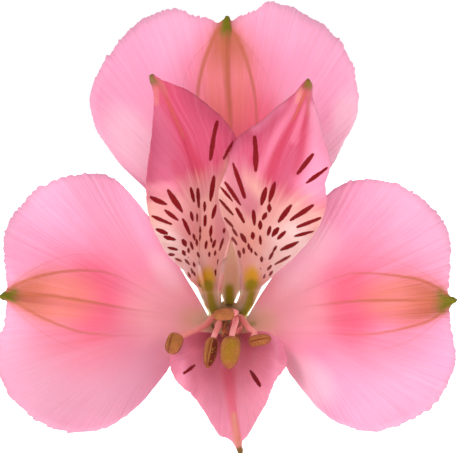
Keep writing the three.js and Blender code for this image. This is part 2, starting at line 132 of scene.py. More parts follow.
# Spots that lighten an outer tepal are painted light, and spots that darken it are painted shade.
# The peach strokes on the outer tepals are partly painted light.
TEPALS = {
    "outer_tepal_top": {
        "whorl": "outer", "angle": 87, "claw": 18, "ruffle": 0.5, "waves": 7, "seed": 11,
        "lean": 0, "pinch": 0.18,
        "throat": [(1.7, 3.8, 10), (0.3, 4.4, 13), (-0.8, 3.8, 10)],
        "bend": [(4.5, 9, 18.5), (0, 24, 25), (-3.8, 9, 18.5)],
        "rim": [
            (11, 17, 20.5), (15.6, 23.4, 22.5), (18.5, 28.5, 24), (20.6, 33.5, 24),
            (20.3, 38.8, 24), (18.6, 43.6, 22.5), (14.2, 48.3, 23), (7.6, 51, 22.5),
            (3.7, 49.5, 24), (0.9, 48.5, 25), (-0.4, 48.8, 25.5), (-1.7, 48.1, 25),
            (-4.4, 48.7, 24), (-9.2, 50, 22), (-14.4, 47.9, 22.5), (-19.2, 42.5, 22),
            (-22.1, 36.6, 23.5), (-21.3, 31.4, 23.5), (-17.8, 26, 23.5), (-13.4, 21.2, 22),
            (-9, 15.5, 20),
        ],
        "veins": [
            (0.95, [(-0.5, 46.5), (-0.4, 41), (0.1, 35), (0.3, 31), (0.3, 20), (0.3, 4)]),
            (0.56, [(-1.2, 47.4), (-2.1, 45.8), (-3.5, 42.7), (-4.5, 39.2), (-4.9, 36),
                    (-4.8, 30), (-3.6, 20), (-1.4, 9), (-0.7, 4)]),
            (0.48, [(0.4, 47), (1.5, 45.6), (2.9, 42.1), (4, 38.1), (4.5, 34.7), (4.6, 28),
                   (3.8, 19), (1.9, 9), (1.1, 4)]),
            (0.22, [(-1.2, 46.6), (-3.6, 44.4), (-5.8, 41.8), (-7.4, 37), (-7.6, 30), (-5, 18)]),
            (0.22, [(1, 46.4), (2.4, 45.1), (4.5, 42.4), (6.2, 39.6), (7.4, 35), (7.4, 28)]),
        ],
        "tip": (-0.45, 47.9), "tip_run": (0.1, -1),
        "bright": [((15, 24.5), (4.5, 7), -35), ((-14.5, 28), (4, 8), 35),
                   ((19, 31), (2.6, 6), 0)],
        "flush": ((2.4, 31.5), (7, 6), 0), "halo": ((0.5, 36), (8.5, 12), 0),
        "salmon": ((-0.1, 38.6), (4.9, 10), 0), "salmon_share": 0.75,
        "shade": [((-2.1, 45.8), (0.8, 2.4), -18), ((17.4, 25.4), (0.5, 2), -12)],
        "peach": [(1.6, 4, 4, [(0.2, 15), (0.2, 5)])],
        "green": [(1, 1.8, 2.2, [(0.2, 5.4), (0.3, 3.2), (0.2, 0)])],
    },
    "outer_tepal_left": {
        "whorl": "outer", "angle": 210, "claw": 20, "ruffle": 0.5, "waves": 6, "seed": 12,
        "lean": 0, "pinch": 0,
        "throat": [(-3.3, 2.1, 12), (-4.6, -0.4, 17), (-4.4, -2.6, 16)],
        "bend": [(-6, 5, 21), (-17, 2, 34), (-8.5, -5, 26)],
        "rim": [
            (-10.2, 13.3, 24), (-14.6, 19.4, 26.5), (-18.8, 23, 28.5), (-23.5, 23.5, 30.5),
            (-28.8, 22, 32.5), (-33, 18.5, 33.5), (-35.7, 14, 34.5), (-35.4, 8.5, 36),
            (-35.4, 5.6, 37), (-36.1, 4.3, 37.5), (-35.3, 3.2, 37), (-35.4, 0.6, 36.5),
            (-36.6, -4.5, 35), (-36, -9.5, 34), (-32.5, -13.8, 32), (-27, -17.1, 30.5),
            (-21, -17.3, 30), (-15, -14, 29), (-9.8, -8, 27),
        ],
        "veins": [
            (0.5, [(-34.4, 4.4), (-29, 4.3), (-24, 3.6), (-19.5, 2.8), (-16, 2.1), (-11.5, 1.5),
                   (-4.6, -0.3)]),
            (0.42, [(-35.2, 5.2), (-34, 5.9), (-31.6, 6.9), (-27.9, 7.8), (-23.6, 8.2),
                    (-19.4, 7.8), (-16, 6.5), (-10, 3.4), (-4, 0.8)]),
            (0.4, [(-35.2, 3.8), (-34, 3.3), (-30.8, 1.3), (-27.1, -0.4), (-23.6, -1.6),
                   (-20.3, -2), (-17.5, -2.2), (-10, -2), (-4.5, -1.5)]),
            (0.2, [(-34.8, 5.6), (-32.2, 7.8), (-27.9, 9.9), (-23.6, 10.8), (-18, 10),
                   (-13, 7.5), (-7, 3.4)]),
            (0.2, [(-34.8, 3.2), (-32, 0.2), (-28, -2.6), (-23, -4.6), (-18, -5), (-10, -4)]),
        ],
        "tip": (-35.5, 4.3), "tip_run": (1, 0),
        "bright": [((-10, 8), (2, 4), 35)],
        "flush": ((-21.8, 3.6), (4.8, 6.6), 0), "halo": ((-22.4, 2.8), (10.8, 11), 0),
        "salmon": ((-27.6, 4), (6.6, 4.6), -4), "salmon_share": 1,
        "shade": [((-12, -6.5), (4, 7), -42), ((-22, -8.5), (17, 10), 0)],
        "peach": [(0.22, 10, 6, [(-11.5, 2), (-4, 0)])],
        "green": [(0.12, 3, 2, [(-6.5, 0.9), (-3.8, 0.2)]),
                  (0.4, 1, 2, [(-3.4, -0.2), (-1.5, -1)])],
    },
    "outer_tepal_right": {
        "whorl": "outer", "angle": 330, "claw": 20, "ruffle": 0.5, "waves": 6, "seed": 13,
        "lean": 0, "pinch": 0,
        "throat": [(4.4, -2.6, 16), (4.6, -0.4, 17), (3.4, 2.3, 12)],
        "bend": [(8.5, -5, 26), (17, 2, 34), (6.3, 5.2, 21)],
        "rim": [
            (9.8, -8.2, 27), (14.6, -14, 29), (20.5, -17.2, 30), (26.3, -17, 30.5),
            (32.3, -13.6, 32), (35.5, -8.5, 34), (36.1, -4.5, 35), (35.4, 0.2, 36.5),
            (35.3, 2.2, 37), (36.1, 3.2, 37.5), (35, 4.8, 37), (35.2, 8, 36), (35.5, 13, 34.5),
            (33.4, 17, 33.5), (29.2, 20.9, 32.5), (24, 22.5, 30.5), (18.7, 22.2, 28.5),
            (14.6, 18.8, 26.5), (10.6, 13, 24),
        ],
        "veins": [
            (0.5, [(34.6, 3.1), (32.5, 3.4), (26.7, 3.5), (21, 3.4), (16.6, 2.9), (11.8, 2.2),
                   (4.6, -0.3)]),
            (0.42, [(35, 4), (34.1, 5), (31, 6.6), (26.7, 7.4), (22.4, 7.8), (18.1, 7.3),
                    (10, 3.8), (4, 0.9)]),
            (0.4, [(34.9, 2.4), (32.5, 0.4), (29.6, -0.6), (26.1, -1.4), (22.4, -1.9),
                   (18.1, -1.9), (10, -1.8), (4.5, -1.3)]),
            (0.2, [(34.6, 5), (32.5, 7), (29, 8.9), (25, 10.2), (19, 10), (13, 7.5), (7, 3.6)]),
            (0.2, [(34.6, 1.4), (32, -1), (28, -3.4), (23, -4.6), (17, -5), (10, -4)]),
        ],
        "tip": (35.5, 3.3), "tip_run": (-1, 0),
        "bright": [((12, 10), (4, 7), -38), ((13, -9.5), (3.4, 5), 42)],
        "flush": ((19.8, 2.7), (4.6, 6.4), 0), "halo": ((24, 2.6), (11.5, 10.4), 0),
        "salmon": ((28, 3.7), (7, 4), 0), "salmon_share": 1,
        "shade": [((10.2, -7.2), (1.4, 4), 25)],
        "peach": [(0.22, 10, 6, [(11.5, 2), (4, 0)])],
        "green": [(0.12, 3, 2, [(6.5, 0.2), (4.2, -0.4)]),
                  (0.6, 1, 1.2, [(4.4, -0.4), (2, -1)])],
    },
    # On the inner tepals, the cool pink strokes are partly painted shade, the light strokes are
    # painted light and the white spots are partly painted light.
    "inner_tepal_upper_left": {
        "whorl": "inner", "angle": 143, "claw": 30, "ruffle": 0.3, "waves": 4, "seed": 14,
        "lean": 2.7, "pinch": 0.08,
        "throat": [(-1, 3, 8), (-3, 4.2, 17), (-3.6, 2, 8)],
        "bend": [(-1.5, 4.2, 15), (-6, 17, 33), (-4.2, 4.2, 15)],
        "rim": [
            (-1.8, 4.7, 22), (-1.6, 7.2, 26), (-1.1, 10.8, 29), (0.2, 14.5, 30.5),
            (1.7, 19.5, 32), (2.3, 24.5, 33), (1.4, 29, 34), (-1.6, 32.8, 35), (-6, 36.7, 36.5),
            (-10.2, 38.5, 38), (-12.4, 39.4, 38.5), (-12.1, 36.5, 37.5), (-12, 31.5, 36),
            (-13.1, 26, 35), (-13.4, 20.5, 34), (-12.8, 16.7, 33), (-11.3, 13.7, 32),
            (-9.6, 11.2, 31), (-7.6, 8.5, 29), (-6, 6.6, 26), (-4.5, 5.5, 22.5),
        ],
        "tip": (-12.2, 39.1), "tip_run": (0.45, -1),
        "fold": (2.2, [(-10.4, 36), (-7.9, 31.2), (-5.2, 25), (-4.5, 21), (-3.6, 10), (-3.2, 6)]),
        "dark": [(0.9, 0.7, 2.3, [(-9.9, 35.6), (-8.6, 33), (-7.4, 30.5), (-6.3, 27.8),
                                  (-4.9, 24.8), (-4.2, 23)]),
                 (0.35, 1, 1.5, [(-8.6, 25.5), (-8, 22.8)])],
        "mauve_and_painted_shade": [(0.75, 3.6, 7, [(-12, 33), (-11, 29), (-10.8, 25), (-11, 22.5)])],
        "light": [(0.35, 2, 2, [(-9, 21.8), (-13, 21.2)])],
        "brown": [(0.5, 1, 0.5, [(-11.2, 38), (-10.2, 36.2), (-8.6, 33), (-7, 29.6)]),
                  (0.6, 1.8, 0.8, [(-11.2, 38), (-9.9, 36.6)])],
        "peach": [(0.35, 0.9, 1, [(-11.7, 37.2), (-11.6, 35)]),
                  (0.4, 1.6, 1.2, [(-1, 22.5), (0.4, 25.5)]),
                  (0.4, 4, 3, [(-3.6, 13), (-3.4, 7)])],
        "green": [(1, 1.3, 1.8, [(-3, 4.4), (-2.7, 2.6), (-2, 0)])],
        "pale_line": [(-14, 20.4), (-9.5, 21.3), (-6, 22), (-3.6, 22.8), (-2, 24), (0, 25.2),
                      (3, 26.5)],
        "white": [((-9.2, 12.2), (2.4, 4), 45), ((-5.6, 9.4), (3, 3), 0)],
        "blush": [(0.8, 2.4, 2, [(-9, 20.8), (-13, 20.2)]),
                  (0.7, 2, 2, [(-2.4, 24), (-4, 20.5)]),
                  (0.65, 8, 5, [(-8.5, 19.5), (-6.5, 15)]),
                  (0.8, 2, 3, [(-0.8, 24), (-1.2, 14)])],
        "nectar": (-3.3, 7.1),
        "streaks": [
            (-1.9, 31.7, -2.8, 26, 0.68), (0.7, 28.9, -0.6, 26.3, 0.5),
            (-12.7, 20.2, -9.8, 19, 0.64), (-9.6, 21.3, -7.5, 17.8, 0.8),
            (-6, 21.4, -5.5, 19.3, 0.56), (-4.7, 21.1, -4.6, 18.3, 0.64),
            (-2.2, 23.4, -2.8, 19.4, 0.64), (-3.6, 19.1, -3.6, 17.6, 0.4),
            (-1.9, 18.8, -2.5, 16.6, 0.56), (-10.1, 18.1, -8.2, 16.4, 0.56),
            (-12.3, 17, -9.2, 15.7, 0.64), (-7.4, 16.6, -6.3, 14.1, 0.56),
            (-6.1, 17.7, -5.8, 16.3, 0.48), (-5, 17.3, -5, 16.1, 0.4),
            (-3.5, 16.9, -3.6, 15.3, 0.48), (-2.6, 15.4, -2.8, 13.7, 0.48),
            (-11.5, 14.7, -9.8, 14.1, 0.56), (-10.2, 13.6, -8.6, 13.2, 0.56),
            (-5.7, 14.1, -5.4, 13.2, 0.48), (-4.4, 15.1, -4.4, 14.1, 0.48),
            (-4.4, 13.9, -4.5, 13, 0.48), (-7.3, 13.1, -6.8, 12.2, 0.64),
            (-6.1, 12.8, -5.7, 11.7, 0.48), (-5.1, 13.2, -5, 12.2, 0.4),
            (-3.4, 12.8, -3.6, 11.7, 0.48), (-2.7, 13.4, -2.6, 12.7, 0.4),
            (-2, 13.1, -2.4, 12, 0.48), (-0.6, 13.4, -1.3, 11.5, 0.4),
            (-0.4, 15, -0.5, 14.3, 0.4), (-9.5, 12, -8.1, 11.6, 0.48),
            (-9.3, 10.9, -8.5, 10.8, 0.48), (-8.3, 10.2, -7.4, 9.7, 0.4),
            (-7.2, 11.4, -6.8, 10.7, 0.48), (-6.4, 11.8, -6.3, 11.1, 0.4),
            (-6.3, 10.3, -6.3, 10.3, 0.4), (-6.8, 10, -6.2, 9.2, 0.4),
            (-4.9, 11.1, -4.6, 10.3, 0.4), (-3, 11.1, -3, 10.5, 0.4),
            (-2, 11.4, -2.1, 10.7, 0.4), (-3.5, 10.1, -3.5, 9.7, 0.4),
            (-4.5, 9.7, -4.5, 9.1, 0.4), (-5.5, 9.5, -5.3, 8.8, 0.4), (-1.6, 10, -1.5, 9, 0.4),
            (-2, 8.3, -2, 7.5, 0.4), (-5.9, 8.5, -5.8, 7.8, 0.4), (-5.6, 8, -5.2, 7.4, 0.4),
            (-6.6, 7.9, -6.1, 7.2, 0.4),
        ],
    },
    "inner_tepal_upper_right": {
        "whorl": "inner", "angle": 33, "claw": 28, "ruffle": 0.3, "waves": 4, "seed": 15,
        "lean": -1.5, "pinch": 0.04,
        "throat": [(3.8, 2, 8.5), (3, 4.2, 18), (1.6, 2.9, 8.5)],
        "bend": [(4.7, 4.2, 16), (6.5, 17, 36), (2.3, 4.1, 16)],
        "rim": [
            (5, 5.5, 23.5), (6.4, 6.6, 27.5), (8.4, 8.5, 31), (10.9, 10.8, 33.5),
            (13.8, 13.8, 35), (15.8, 18.4, 36), (15.6, 22, 36.5), (16.2, 25, 37),
            (15.3, 30.5, 38.5), (13.9, 35.3, 39.5), (12.8, 38.7, 40.5), (9.7, 35.8, 39.5),
            (5.8, 32, 38.5), (1.6, 29.2, 37.5), (-0.2, 24.5, 36.5), (-1.6, 20.2, 35.5),
            (-0.9, 16.7, 34.5), (0.5, 13.4, 33.5), (1.6, 10.7, 32), (2.2, 7.3, 28.5),
            (2.5, 4.7, 24),
        ],
        "tip": (12.8, 38.5), "tip_run": (-0.12, -1),
        "fold": (2, [(12.2, 35.5), (10.1, 30.9), (8.2, 27), (6.6, 23.5), (5.6, 20), (4.4, 12),
                     (3.9, 7)]),
        "dark": [(0.75, 0.8, 1.9, [(11.8, 35.2), (10.3, 32.1), (9.1, 29.8), (8.2, 27.5),
                                   (7.2, 25.3), (6.4, 23.2)]),
                 (0.5, 0.6, 1.4, [(13, 35), (12.7, 32.3), (12.1, 30), (11.5, 27), (10.9, 24)])],
        "mauve_and_painted_shade": [(0.12, 1.6, 3.4, [(8.9, 34.4), (6.6, 31.2), (4.2, 28.8), (2, 27)]),
                  (0.6, 2.4, 2.4, [(1.2, 28.4), (0.6, 24.5)]),
                  (0.55, 2.2, 2, [(2.2, 26), (3.6, 23), (5, 20.6)]),
                  (0.4, 2.4, 3, [(10.6, 27), (9.6, 23)])],
        "light": [(0.45, 1.2, 2, [(10.9, 36), (10, 33.5), (8.7, 31.2), (7, 28.3), (5.9, 25.6),
                                 (5.4, 23.6)]),
                  (0.28, 0.9, 1.4, [(12.5, 34.6), (11.4, 31.6), (10.6, 29)]),
                  (0.4, 2, 2.4, [(8.4, 35), (4.4, 31.2)]),
                  (0.95, 2.4, 6.5, [(14.4, 34), (14.8, 30), (14.9, 26), (14.2, 22)])],
        "brown": [(0.9, 0.7, 0.3, [(12.4, 36.6), (11.3, 34.1), (10.4, 32.3)]),
                  (0.6, 0.6, 0.25, [(12.9, 36.8), (13.1, 34.6), (12.8, 32.6)])],
        "peach": [(0.7, 1.2, 0.8, [(11.4, 36.8), (10.9, 35.2)]),
                  (0.4, 4, 3, [(4.2, 13), (3.7, 7)])],
        "green": [(1, 1.3, 2, [(3.9, 4.5), (3.5, 2.7), (2.7, 0.8), (2.2, -1)])],
        "pale_line": [(-2, 27.5), (0.6, 25.8), (2.6, 24.4), (4.2, 23), (5.4, 21.6), (7.3, 20.2),
                      (10.8, 20), (13.6, 18.6), (17, 17)],
        "white": [((9.6, 12.2), (4.6, 4.4), -35), ((6, 9.6), (3.4, 3), 0)],
        "blush": [(1.2, 4, 3.4, [(1.2, 27.5), (0.8, 23), (3.6, 18.5)]),
                  (0.25, 2, 2, [(10, 20.8), (15, 18)]),
                  (0.2, 5, 4, [(6.5, 19), (14, 15.6)])],
        "nectar": (3.8, 7.2),
        "streaks": [
            (4.3, 29.3, 4.4, 24.3, 0.74), (0.9, 25.4, 2.6, 20.2, 0.7),
            (-0.4, 22.3, 1.9, 18.9, 0.56), (-1.2, 21.6, 0.6, 19.4, 0.48),
            (-1.4, 19.4, 0.6, 17.2, 0.48), (1.2, 18.2, 2.4, 16.1, 0.64),
            (4, 17.8, 4.2, 15.4, 0.56), (6, 21.2, 5.3, 18.7, 0.72),
            (7.5, 22.2, 6.6, 19.2, 0.72), (6.6, 18.7, 6.6, 17.6, 0.64),
            (6.1, 17.3, 5.5, 16.3, 0.64), (5.1, 15.9, 5.1, 14.8, 0.64),
            (10.1, 18.7, 8.2, 16.1, 0.64), (13.6, 18.8, 10.1, 16.4, 0.64),
            (14.9, 16.7, 11.2, 15.2, 0.64), (13.7, 14.2, 10.9, 13.6, 0.56),
            (11.4, 12.6, 8.7, 11.5, 0.56), (10, 10.6, 7.6, 9.2, 0.4),
            (13.6, 26.9, 11.1, 23.7, 0.7), (15.8, 24.6, 12.5, 22.2, 0.56),
            (6.8, 15.2, 6.4, 13.9, 0.64), (8.1, 15, 7.2, 13.8, 0.72),
            (9.3, 14.5, 8.2, 13.4, 0.64), (3.9, 14.2, 4, 13.2, 0.56),
            (5.1, 13.6, 5.2, 12.4, 0.48), (1.9, 14.1, 2.8, 12.8, 0.64),
            (-0.6, 16.6, 0.6, 15.2, 0.4), (0.6, 14.9, 1.3, 13.8, 0.4),
            (0.6, 13.5, 1.3, 12.4, 0.4), (3.2, 12.5, 3.4, 11.7, 0.48),
            (3.7, 11.8, 3.8, 11.1, 0.4), (2.4, 11.8, 2.5, 11, 0.48),
            (1.6, 11.4, 1.9, 10.4, 0.48), (4.3, 11.1, 4.7, 10.5, 0.4),
            (3.9, 10.2, 3.9, 9.6, 0.32), (5.4, 10.4, 5.4, 9.7, 0.48), (6, 10.1, 6, 10.1, 0.32),
            (7.9, 12.1, 7.5, 11.4, 0.48), (7.4, 11.2, 6.8, 10.1, 0.48), (7, 9, 6.4, 8.3, 0.4),
            (7.2, 8.1, 6.7, 7.4, 0.4), (6, 7.6, 5.7, 7, 0.32), (6.2, 7.2, 6.2, 7.2, 0.32),
            (4.9, 8.8, 5.3, 8.5, 0.32), (3.2, 8.2, 3.2, 8.2, 0.4), (3.6, 9, 3.6, 9, 0.32),
        ],
    },
    "inner_tepal_lower": {
        "whorl": "inner", "angle": 270, "claw": 25, "ruffle": 0.3, "waves": 4, "seed": 16,
        "lean": 0, "pinch": 0,
        "throat": [(-3.2, -1.6, 20), (0, -4.8, 18), (3.3, -1.8, 20)],
        "bend": [(-6, -1.2, 32), (0.5, -9, 36), (5.4, -1, 32)],
        "rim": [
            (-7.2, -2, 33.5), (-8.8, -4.1, 35), (-9.1, -7, 37), (-7.8, -9.8, 39),
            (-5.6, -11.3, 41), (-3.8, -13.9, 43.5), (-2.6, -16.6, 46), (-1.4, -18.1, 48),
            (0.5, -18.4, 49), (1.7, -21, 51.8), (2.1, -18.5, 49), (3.2, -17.4, 47),
            (4.9, -14.6, 44), (6.3, -12, 42), (7.4, -9.4, 40), (9.5, -6.8, 38),
            (9.3, -4.5, 36), (8.2, -2.8, 34.5), (6.7, -1.8, 33),
        ],
        "tip": (1.6, -20.2), "tip_run": (-0.3, 1),
        "fold": (1.8, [(1.5, -19.6), (0.9, -15), (0.4, -11), (0.1, -7)]),
        "dark": [(0.7, 1, 2.1, [(1.5, -18), (0.9, -15), (0.4, -11), (0.1, -8)])],
        "mauve_and_painted_shade": [(0.35, 3, 5, [(-1.6, -14.6), (-3, -10), (-4, -7)]),
                  (0.5, 3, 3, [(-6.8, -6), (-5.6, -10.4)]),
                  (0.35, 3, 3, [(7, -5), (6.6, -9)]),
                  (0.6, 3, 3.4, [(-8.4, -7.4), (-7.4, -3.6), (-4, -2.6)]),
                  (0.6, 3, 3.4, [(4, -3), (7.4, -3.4), (8.6, -5)])],
        "light": [(0.4, 2.4, 2.4, [(1.6, -16), (0.6, -17.6), (-2, -14.6)]),
                  (0.3, 2.6, 2, [(4, -11.5), (7, -8)])],
        "brown": [(0.35, 0.9, 0.5, [(1.7, -20.6), (1.4, -18)])],
        "peach": [(1, 1.6, 0.9, [(1.8, -21), (1.3, -18), (0.9, -14.5)])],
        "streaks": [(-7, -8.2, -5.4, -6.9, 0.48), (3.6, -7.8, 5, -10, 0.66)],
    },
}

# Reach, half width at the point and spread of the green on each tip.
TIP_WEDGES = {
    "outer_tepal_top": (3, 0.55, 0.3), "outer_tepal_left": (2.8, 0.6, 0.4),
    "outer_tepal_right": (3.2, 0.9, 0.65), "inner_tepal_upper_left": (1.8, 0.45, 0.3),
    "inner_tepal_upper_right": (2, 0.45, 0.3), "inner_tepal_lower": (1, 0.4, 0.2),
}

# ---- Stamens and style -------------------------------------------------------------------------
# Each filament starts on the stamen ring at its root angle and follows its path to the anther,
# which runs from foot to tip and is width across. slits are (degrees, depth) round the anther
# with 0 towards the front; pod says which side is open and dark, and how much of it, and face and
# edge are the shares of ochre on the front and of maroon on the edges. A low point makes the
# far end of the anther more pointed.

STAMENS = [
    {"root": 150, "path": [(-2.5, 0.6, 20), (-4, -0.7, 31), (-7.3, -2.1, 37.2)],
     "foot": (-8, -1.9, 38), "tip": (-9.3, -5, 39.5), "width": 2.9,
     "slits": [(36, 0.2), (-144, 0.2)], "pod": None, "face": 0.3, "edge": 1, "point": 2.6},
    {"root": 210, "path": [(-1.7, -0.5, 20), (-1.4, -0.3, 31), (-2.1, -1.9, 38.4)],
     "foot": (-2.4, -2.4, 38.9), "tip": (-3.3, -7.3, 40.4), "width": 2.4,
     "slits": [(20, 0.22), (-114, 0.22)], "pod": (-38, 30), "face": 0.3, "edge": 0.9,
     "point": 1.9},
    {"root": 280, "path": [(0.8, -0.4, 16), (1.2, 0.6, 30), (1.2, 0, 37), (0.7, -1.7, 40)],
     "foot": (0.6, -2.2, 40.6), "tip": (0.1, -7.4, 42), "width": 3.4,
     "slits": [(84, 0.16), (-84, 0.16)], "pod": None, "face": 1, "edge": 0.3, "point": 2},
    {"root": 90, "path": [(0.5, 1.6, 20), (1.2, 1.6, 33), (1.1, 1.5, 39), (0.9, 1.45, 40.45)],
     "foot": (1, 1.4, 41.5), "tip": (-2.5, 1.1, 42.6), "width": 2.1,
     "slits": [(-96, 0.2), (96, 0.2)], "pod": None, "face": 0.05, "edge": 0.6, "point": 2.6},
    {"root": 30, "path": [(2.2, 0.6, 20), (2.6, 0, 31), (3.4, -1, 35), (4.2, -1.7, 36.3)],
     "foot": (3.3, -3.2, 37.2), "tip": (6.9, -2.5, 38.5), "width": 2.1,
     "slits": [(-12, 0.26), (168, 0.2)], "pod": None, "face": 0.15, "edge": 0.7, "point": 2.4},
    # The sixth anther has no ochre face, so it reads dark: painted shade deep in the throat.
    {"root": 335, "path": [(1.9, -1, 12), (1.6, -1.4, 20), (1.2, -1.8, 26.4)],
     "foot": (1.1, -2.1, 27), "tip": (0.7, -4.9, 30.5), "width": 2.2,
     "slits": [(80, 0.2), (-80, 0.2)], "pod": None, "face": 0, "edge": 0.8, "point": 2.4},
]
STYLE_PATH = [(0, 0, SEAT_GAP), (-0.5, -0.8, 12), (-0.6, -1.9, 26)]


# ---- Settings ----------------------------------------------------------------------------------

def srgb(code):
    """Linear colour of a six-figure hex code."""
    parts = [int(code[i:i + 2], 16) / 255 for i in (0, 2, 4)]
    return tuple(c / 12.92 if c <= 0.04045 else ((c + 0.055) / 1.055) ** 2.4 for c in parts)


def colour(name, description, code):
    return FloatVectorProperty(
        name=name, description=description, subtype="COLOR", size=3, min=0, max=1,
        default=srgb(code),
    )


def length(name, description, millimetres):
    return FloatProperty(
        name=name, description=description, subtype="DISTANCE", unit="LENGTH", min=0,
        default=millimetres * MM, precision=5,
    )


class BloomTepalSettings(bpy.types.PropertyGroup):
    """Sizes of the tepals' blades."""

    thickness: length("Thickness", "Thickness of a blade between its veins", 0.36)
    rim_thickness: length("Rim thickness", "Thickness of a blade at its rim", 0.08)
    claw_thickness: length("Claw thickness", "Extra thickness at the narrow foot", 0.3)
    tooth_height: length("Tooth height", "Height of the largest teeth on an outer rim", 0.42)
    tooth_spacing: length("Tooth spacing", "Mean distance between two teeth", 1.1)
    pleat_height: length("Pleat height", "Height of the fine pleats towards the rim", 0.055)
    vein_relief: length("Vein relief", "How far a vein stands out behind the blade", 0.12)
    outer_rows: IntProperty(name="Outer rows", description="Cells from claw to rim of an outer "
                            "tepal", default=46, min=12)
    outer_cells: IntProperty(name="Outer cells", description="Cells between two rim points "
                             "of an outer tepal", default=32, min=2)
    inner_rows: IntProperty(name="Inner rows", description="Cells from claw to rim of an inner "
                            "tepal", default=128, min=12)
    inner_cells: IntProperty(name="Inner cells", description="Cells between two rim points "
                             "of an inner tepal", default=15, min=2)


class BloomColourSettings(bpy.types.PropertyGroup):
    """Colours of the flower."""

    petal: colour("Petal", "Main pink of the outer tepals", "fea0c4")
    petal_light: colour("Light petal", "Paler clouds and lines in that pink", "ffb2d0")
    # Painted light: the palest pink, laid as spots where an outer tepal lies in shade or shows a
    # highlight.
    bright: colour("Bright petal", "Palest pink of the outer tepals", "ffd2e0")
    # Painted shade: a greyer pink for the spots where an outer tepal turns from the light; it also
    # darkens the fine lines near the rim.
    petal_shade: colour("Petal shade", "Greyer pink near the inner tepals", "c08c9a")
    flush: colour("Flush", "Hot pink round the middle of an outer tepal", "ee5470")
    salmon: colour("Salmon", "Field between the veins of an outer tepal", "e88272")
    vein: colour("Vein", "Veins of the outer tepals", "c06648")
    tip: colour("Tip", "Green points of the outer tepals", "726c0c")
    inner_tip: colour("Inner tip", "Olive points of the inner tepals", "80601c")
    # Partly painted light: the claws' tan, made paler than it is so that the claws and the roots of
    # filaments and style stay light deep in the throat's shade.
    throat: colour("Throat", "Tan of the claws", "fbdcbc")
    inner: colour("Inner petal", "Deep pink of the upper inner tepals", "cc4868")
    lower: colour("Lower petal", "Pink of the lower inner tepal", "ffa2ba")
    # Partly painted shade: a cooler pink for facets of the inner tepals that turn from the light
    # and for the lower one in the anthers' shadow; it is also the pale field's blush and the colour
    # of fine lines.
    mauve_and_painted_shade: colour("Mauve", "Cooler facets of the inner tepals", "cc6685")
    inner_dark: colour("Inner fold", "Fold down the middle of an inner tepal", "c83a56")
    # Partly painted light: a paler pink for the lengthwise bands, and for the strokes that lighten
    # margins and edges lying in shade.
    inner_pale_and_painted_light: colour("Inner light", "Light bands of the inner tepals", "ff9cbc")
    # Partly painted light: laid by the white spots, most of all at the foot of the pale field, deep
    # in shade.
    pale: colour("Pale field", "Pale field under the streaks", "fadcd8")
    field: colour("Field", "Peach pink between the streaks", "f0b2a8")
    # Partly painted light: near-white peach, paler than the claw itself, so the claw stays light
    # deep in the throat's shade; also laid faintly near the middle of the side tepals.
    tongue_and_painted_light: colour("Tongue", "Bright peach of the upper tepal's claw", "ffe4cc")
    ovary_top: colour("Ovary top", "Where the tepals join the ovary", "b08c5c")
    warm: colour("Warm field", "Peach of the middle and of the tips", "eea088")
    nectar: colour("Nectar mark", "Yellow mark above the claw", "f0c43a")
    leaf: colour("Claw green", "Green of the claws", "b2a81c")
    streak: colour("Streak", "Dark streaks of the inner tepals", "7e000c")
    filament: colour("Filament", "Stalks of the stamens", "f09a98")
    anther: colour("Anther", "Skin of the anthers", "b0643a")
    pollen_field: colour("Anther face", "Ochre face of an anther", "98680c")
    anther_edge: colour("Anther edge", "Maroon edges of an anther", "7c3420")
    pod: colour("Open anther", "Dark inside of an open anther", "6e2012")
    pollen: colour("Pollen", "Grains of pollen", "c0b43c")
    style: colour("Style", "Style and stigma", "cc8050")
    ovary: colour("Ovary", "Ovary below the tepals", "6f8a3a")
    ovary_groove: colour("Green grooves", "Darker green in the grooves", "4c6424")
    core: colour("Core", "Pale core of a cut stalk", "c8d29a")
    pedicel: colour("Pedicel", "Stalk of the bloom", "7d9a44")


class BloomStamenSettings(bpy.types.PropertyGroup):
    """Sizes of the stamens and the style."""

    filament_radius: length("Filament radius", "Radius of a filament at its root", 0.55)
    filament_taper: FloatProperty(name="Filament taper", subtype="FACTOR", min=0, max=1,
                                  description="Share of the radius lost at the anther",
                                  default=0.12)
    style_radius: length("Style radius", "Radius of the style", 0.35)
    stigma_radius: length("Stigma radius", "Reach of the stigma's three lobes", 0.75)
    anther_flatness: FloatProperty(name="Anther flatness", subtype="FACTOR", min=0.3, max=1,
                                   description="Thickness of an anther over its width",
                                   default=0.85)
    grain_size: length("Grain size", "Radius of a pollen grain", 0.07)
    grain_density: FloatProperty(name="Grain density", min=0, default=3.2, description="Pollen "
                                 "grains on a square millimetre of open anther")
    seed: IntProperty(name="Seed", description="Seed of the scattered pollen", default=4)


class BloomStalkSettings(bpy.types.PropertyGroup):
    """Relief of the ovary and the pedicel."""

    rib_relief: FloatProperty(name="Rib relief", subtype="FACTOR", min=0, max=0.3, default=0.08,
                              description="Depth of the ovary's grooves over its radius")
    ridges: IntProperty(name="Ridges", description="Fine ridges round the pedicel", default=12,
                        min=3)
    ridge_height: length("Ridge height", "Height of those ridges", 0.07)


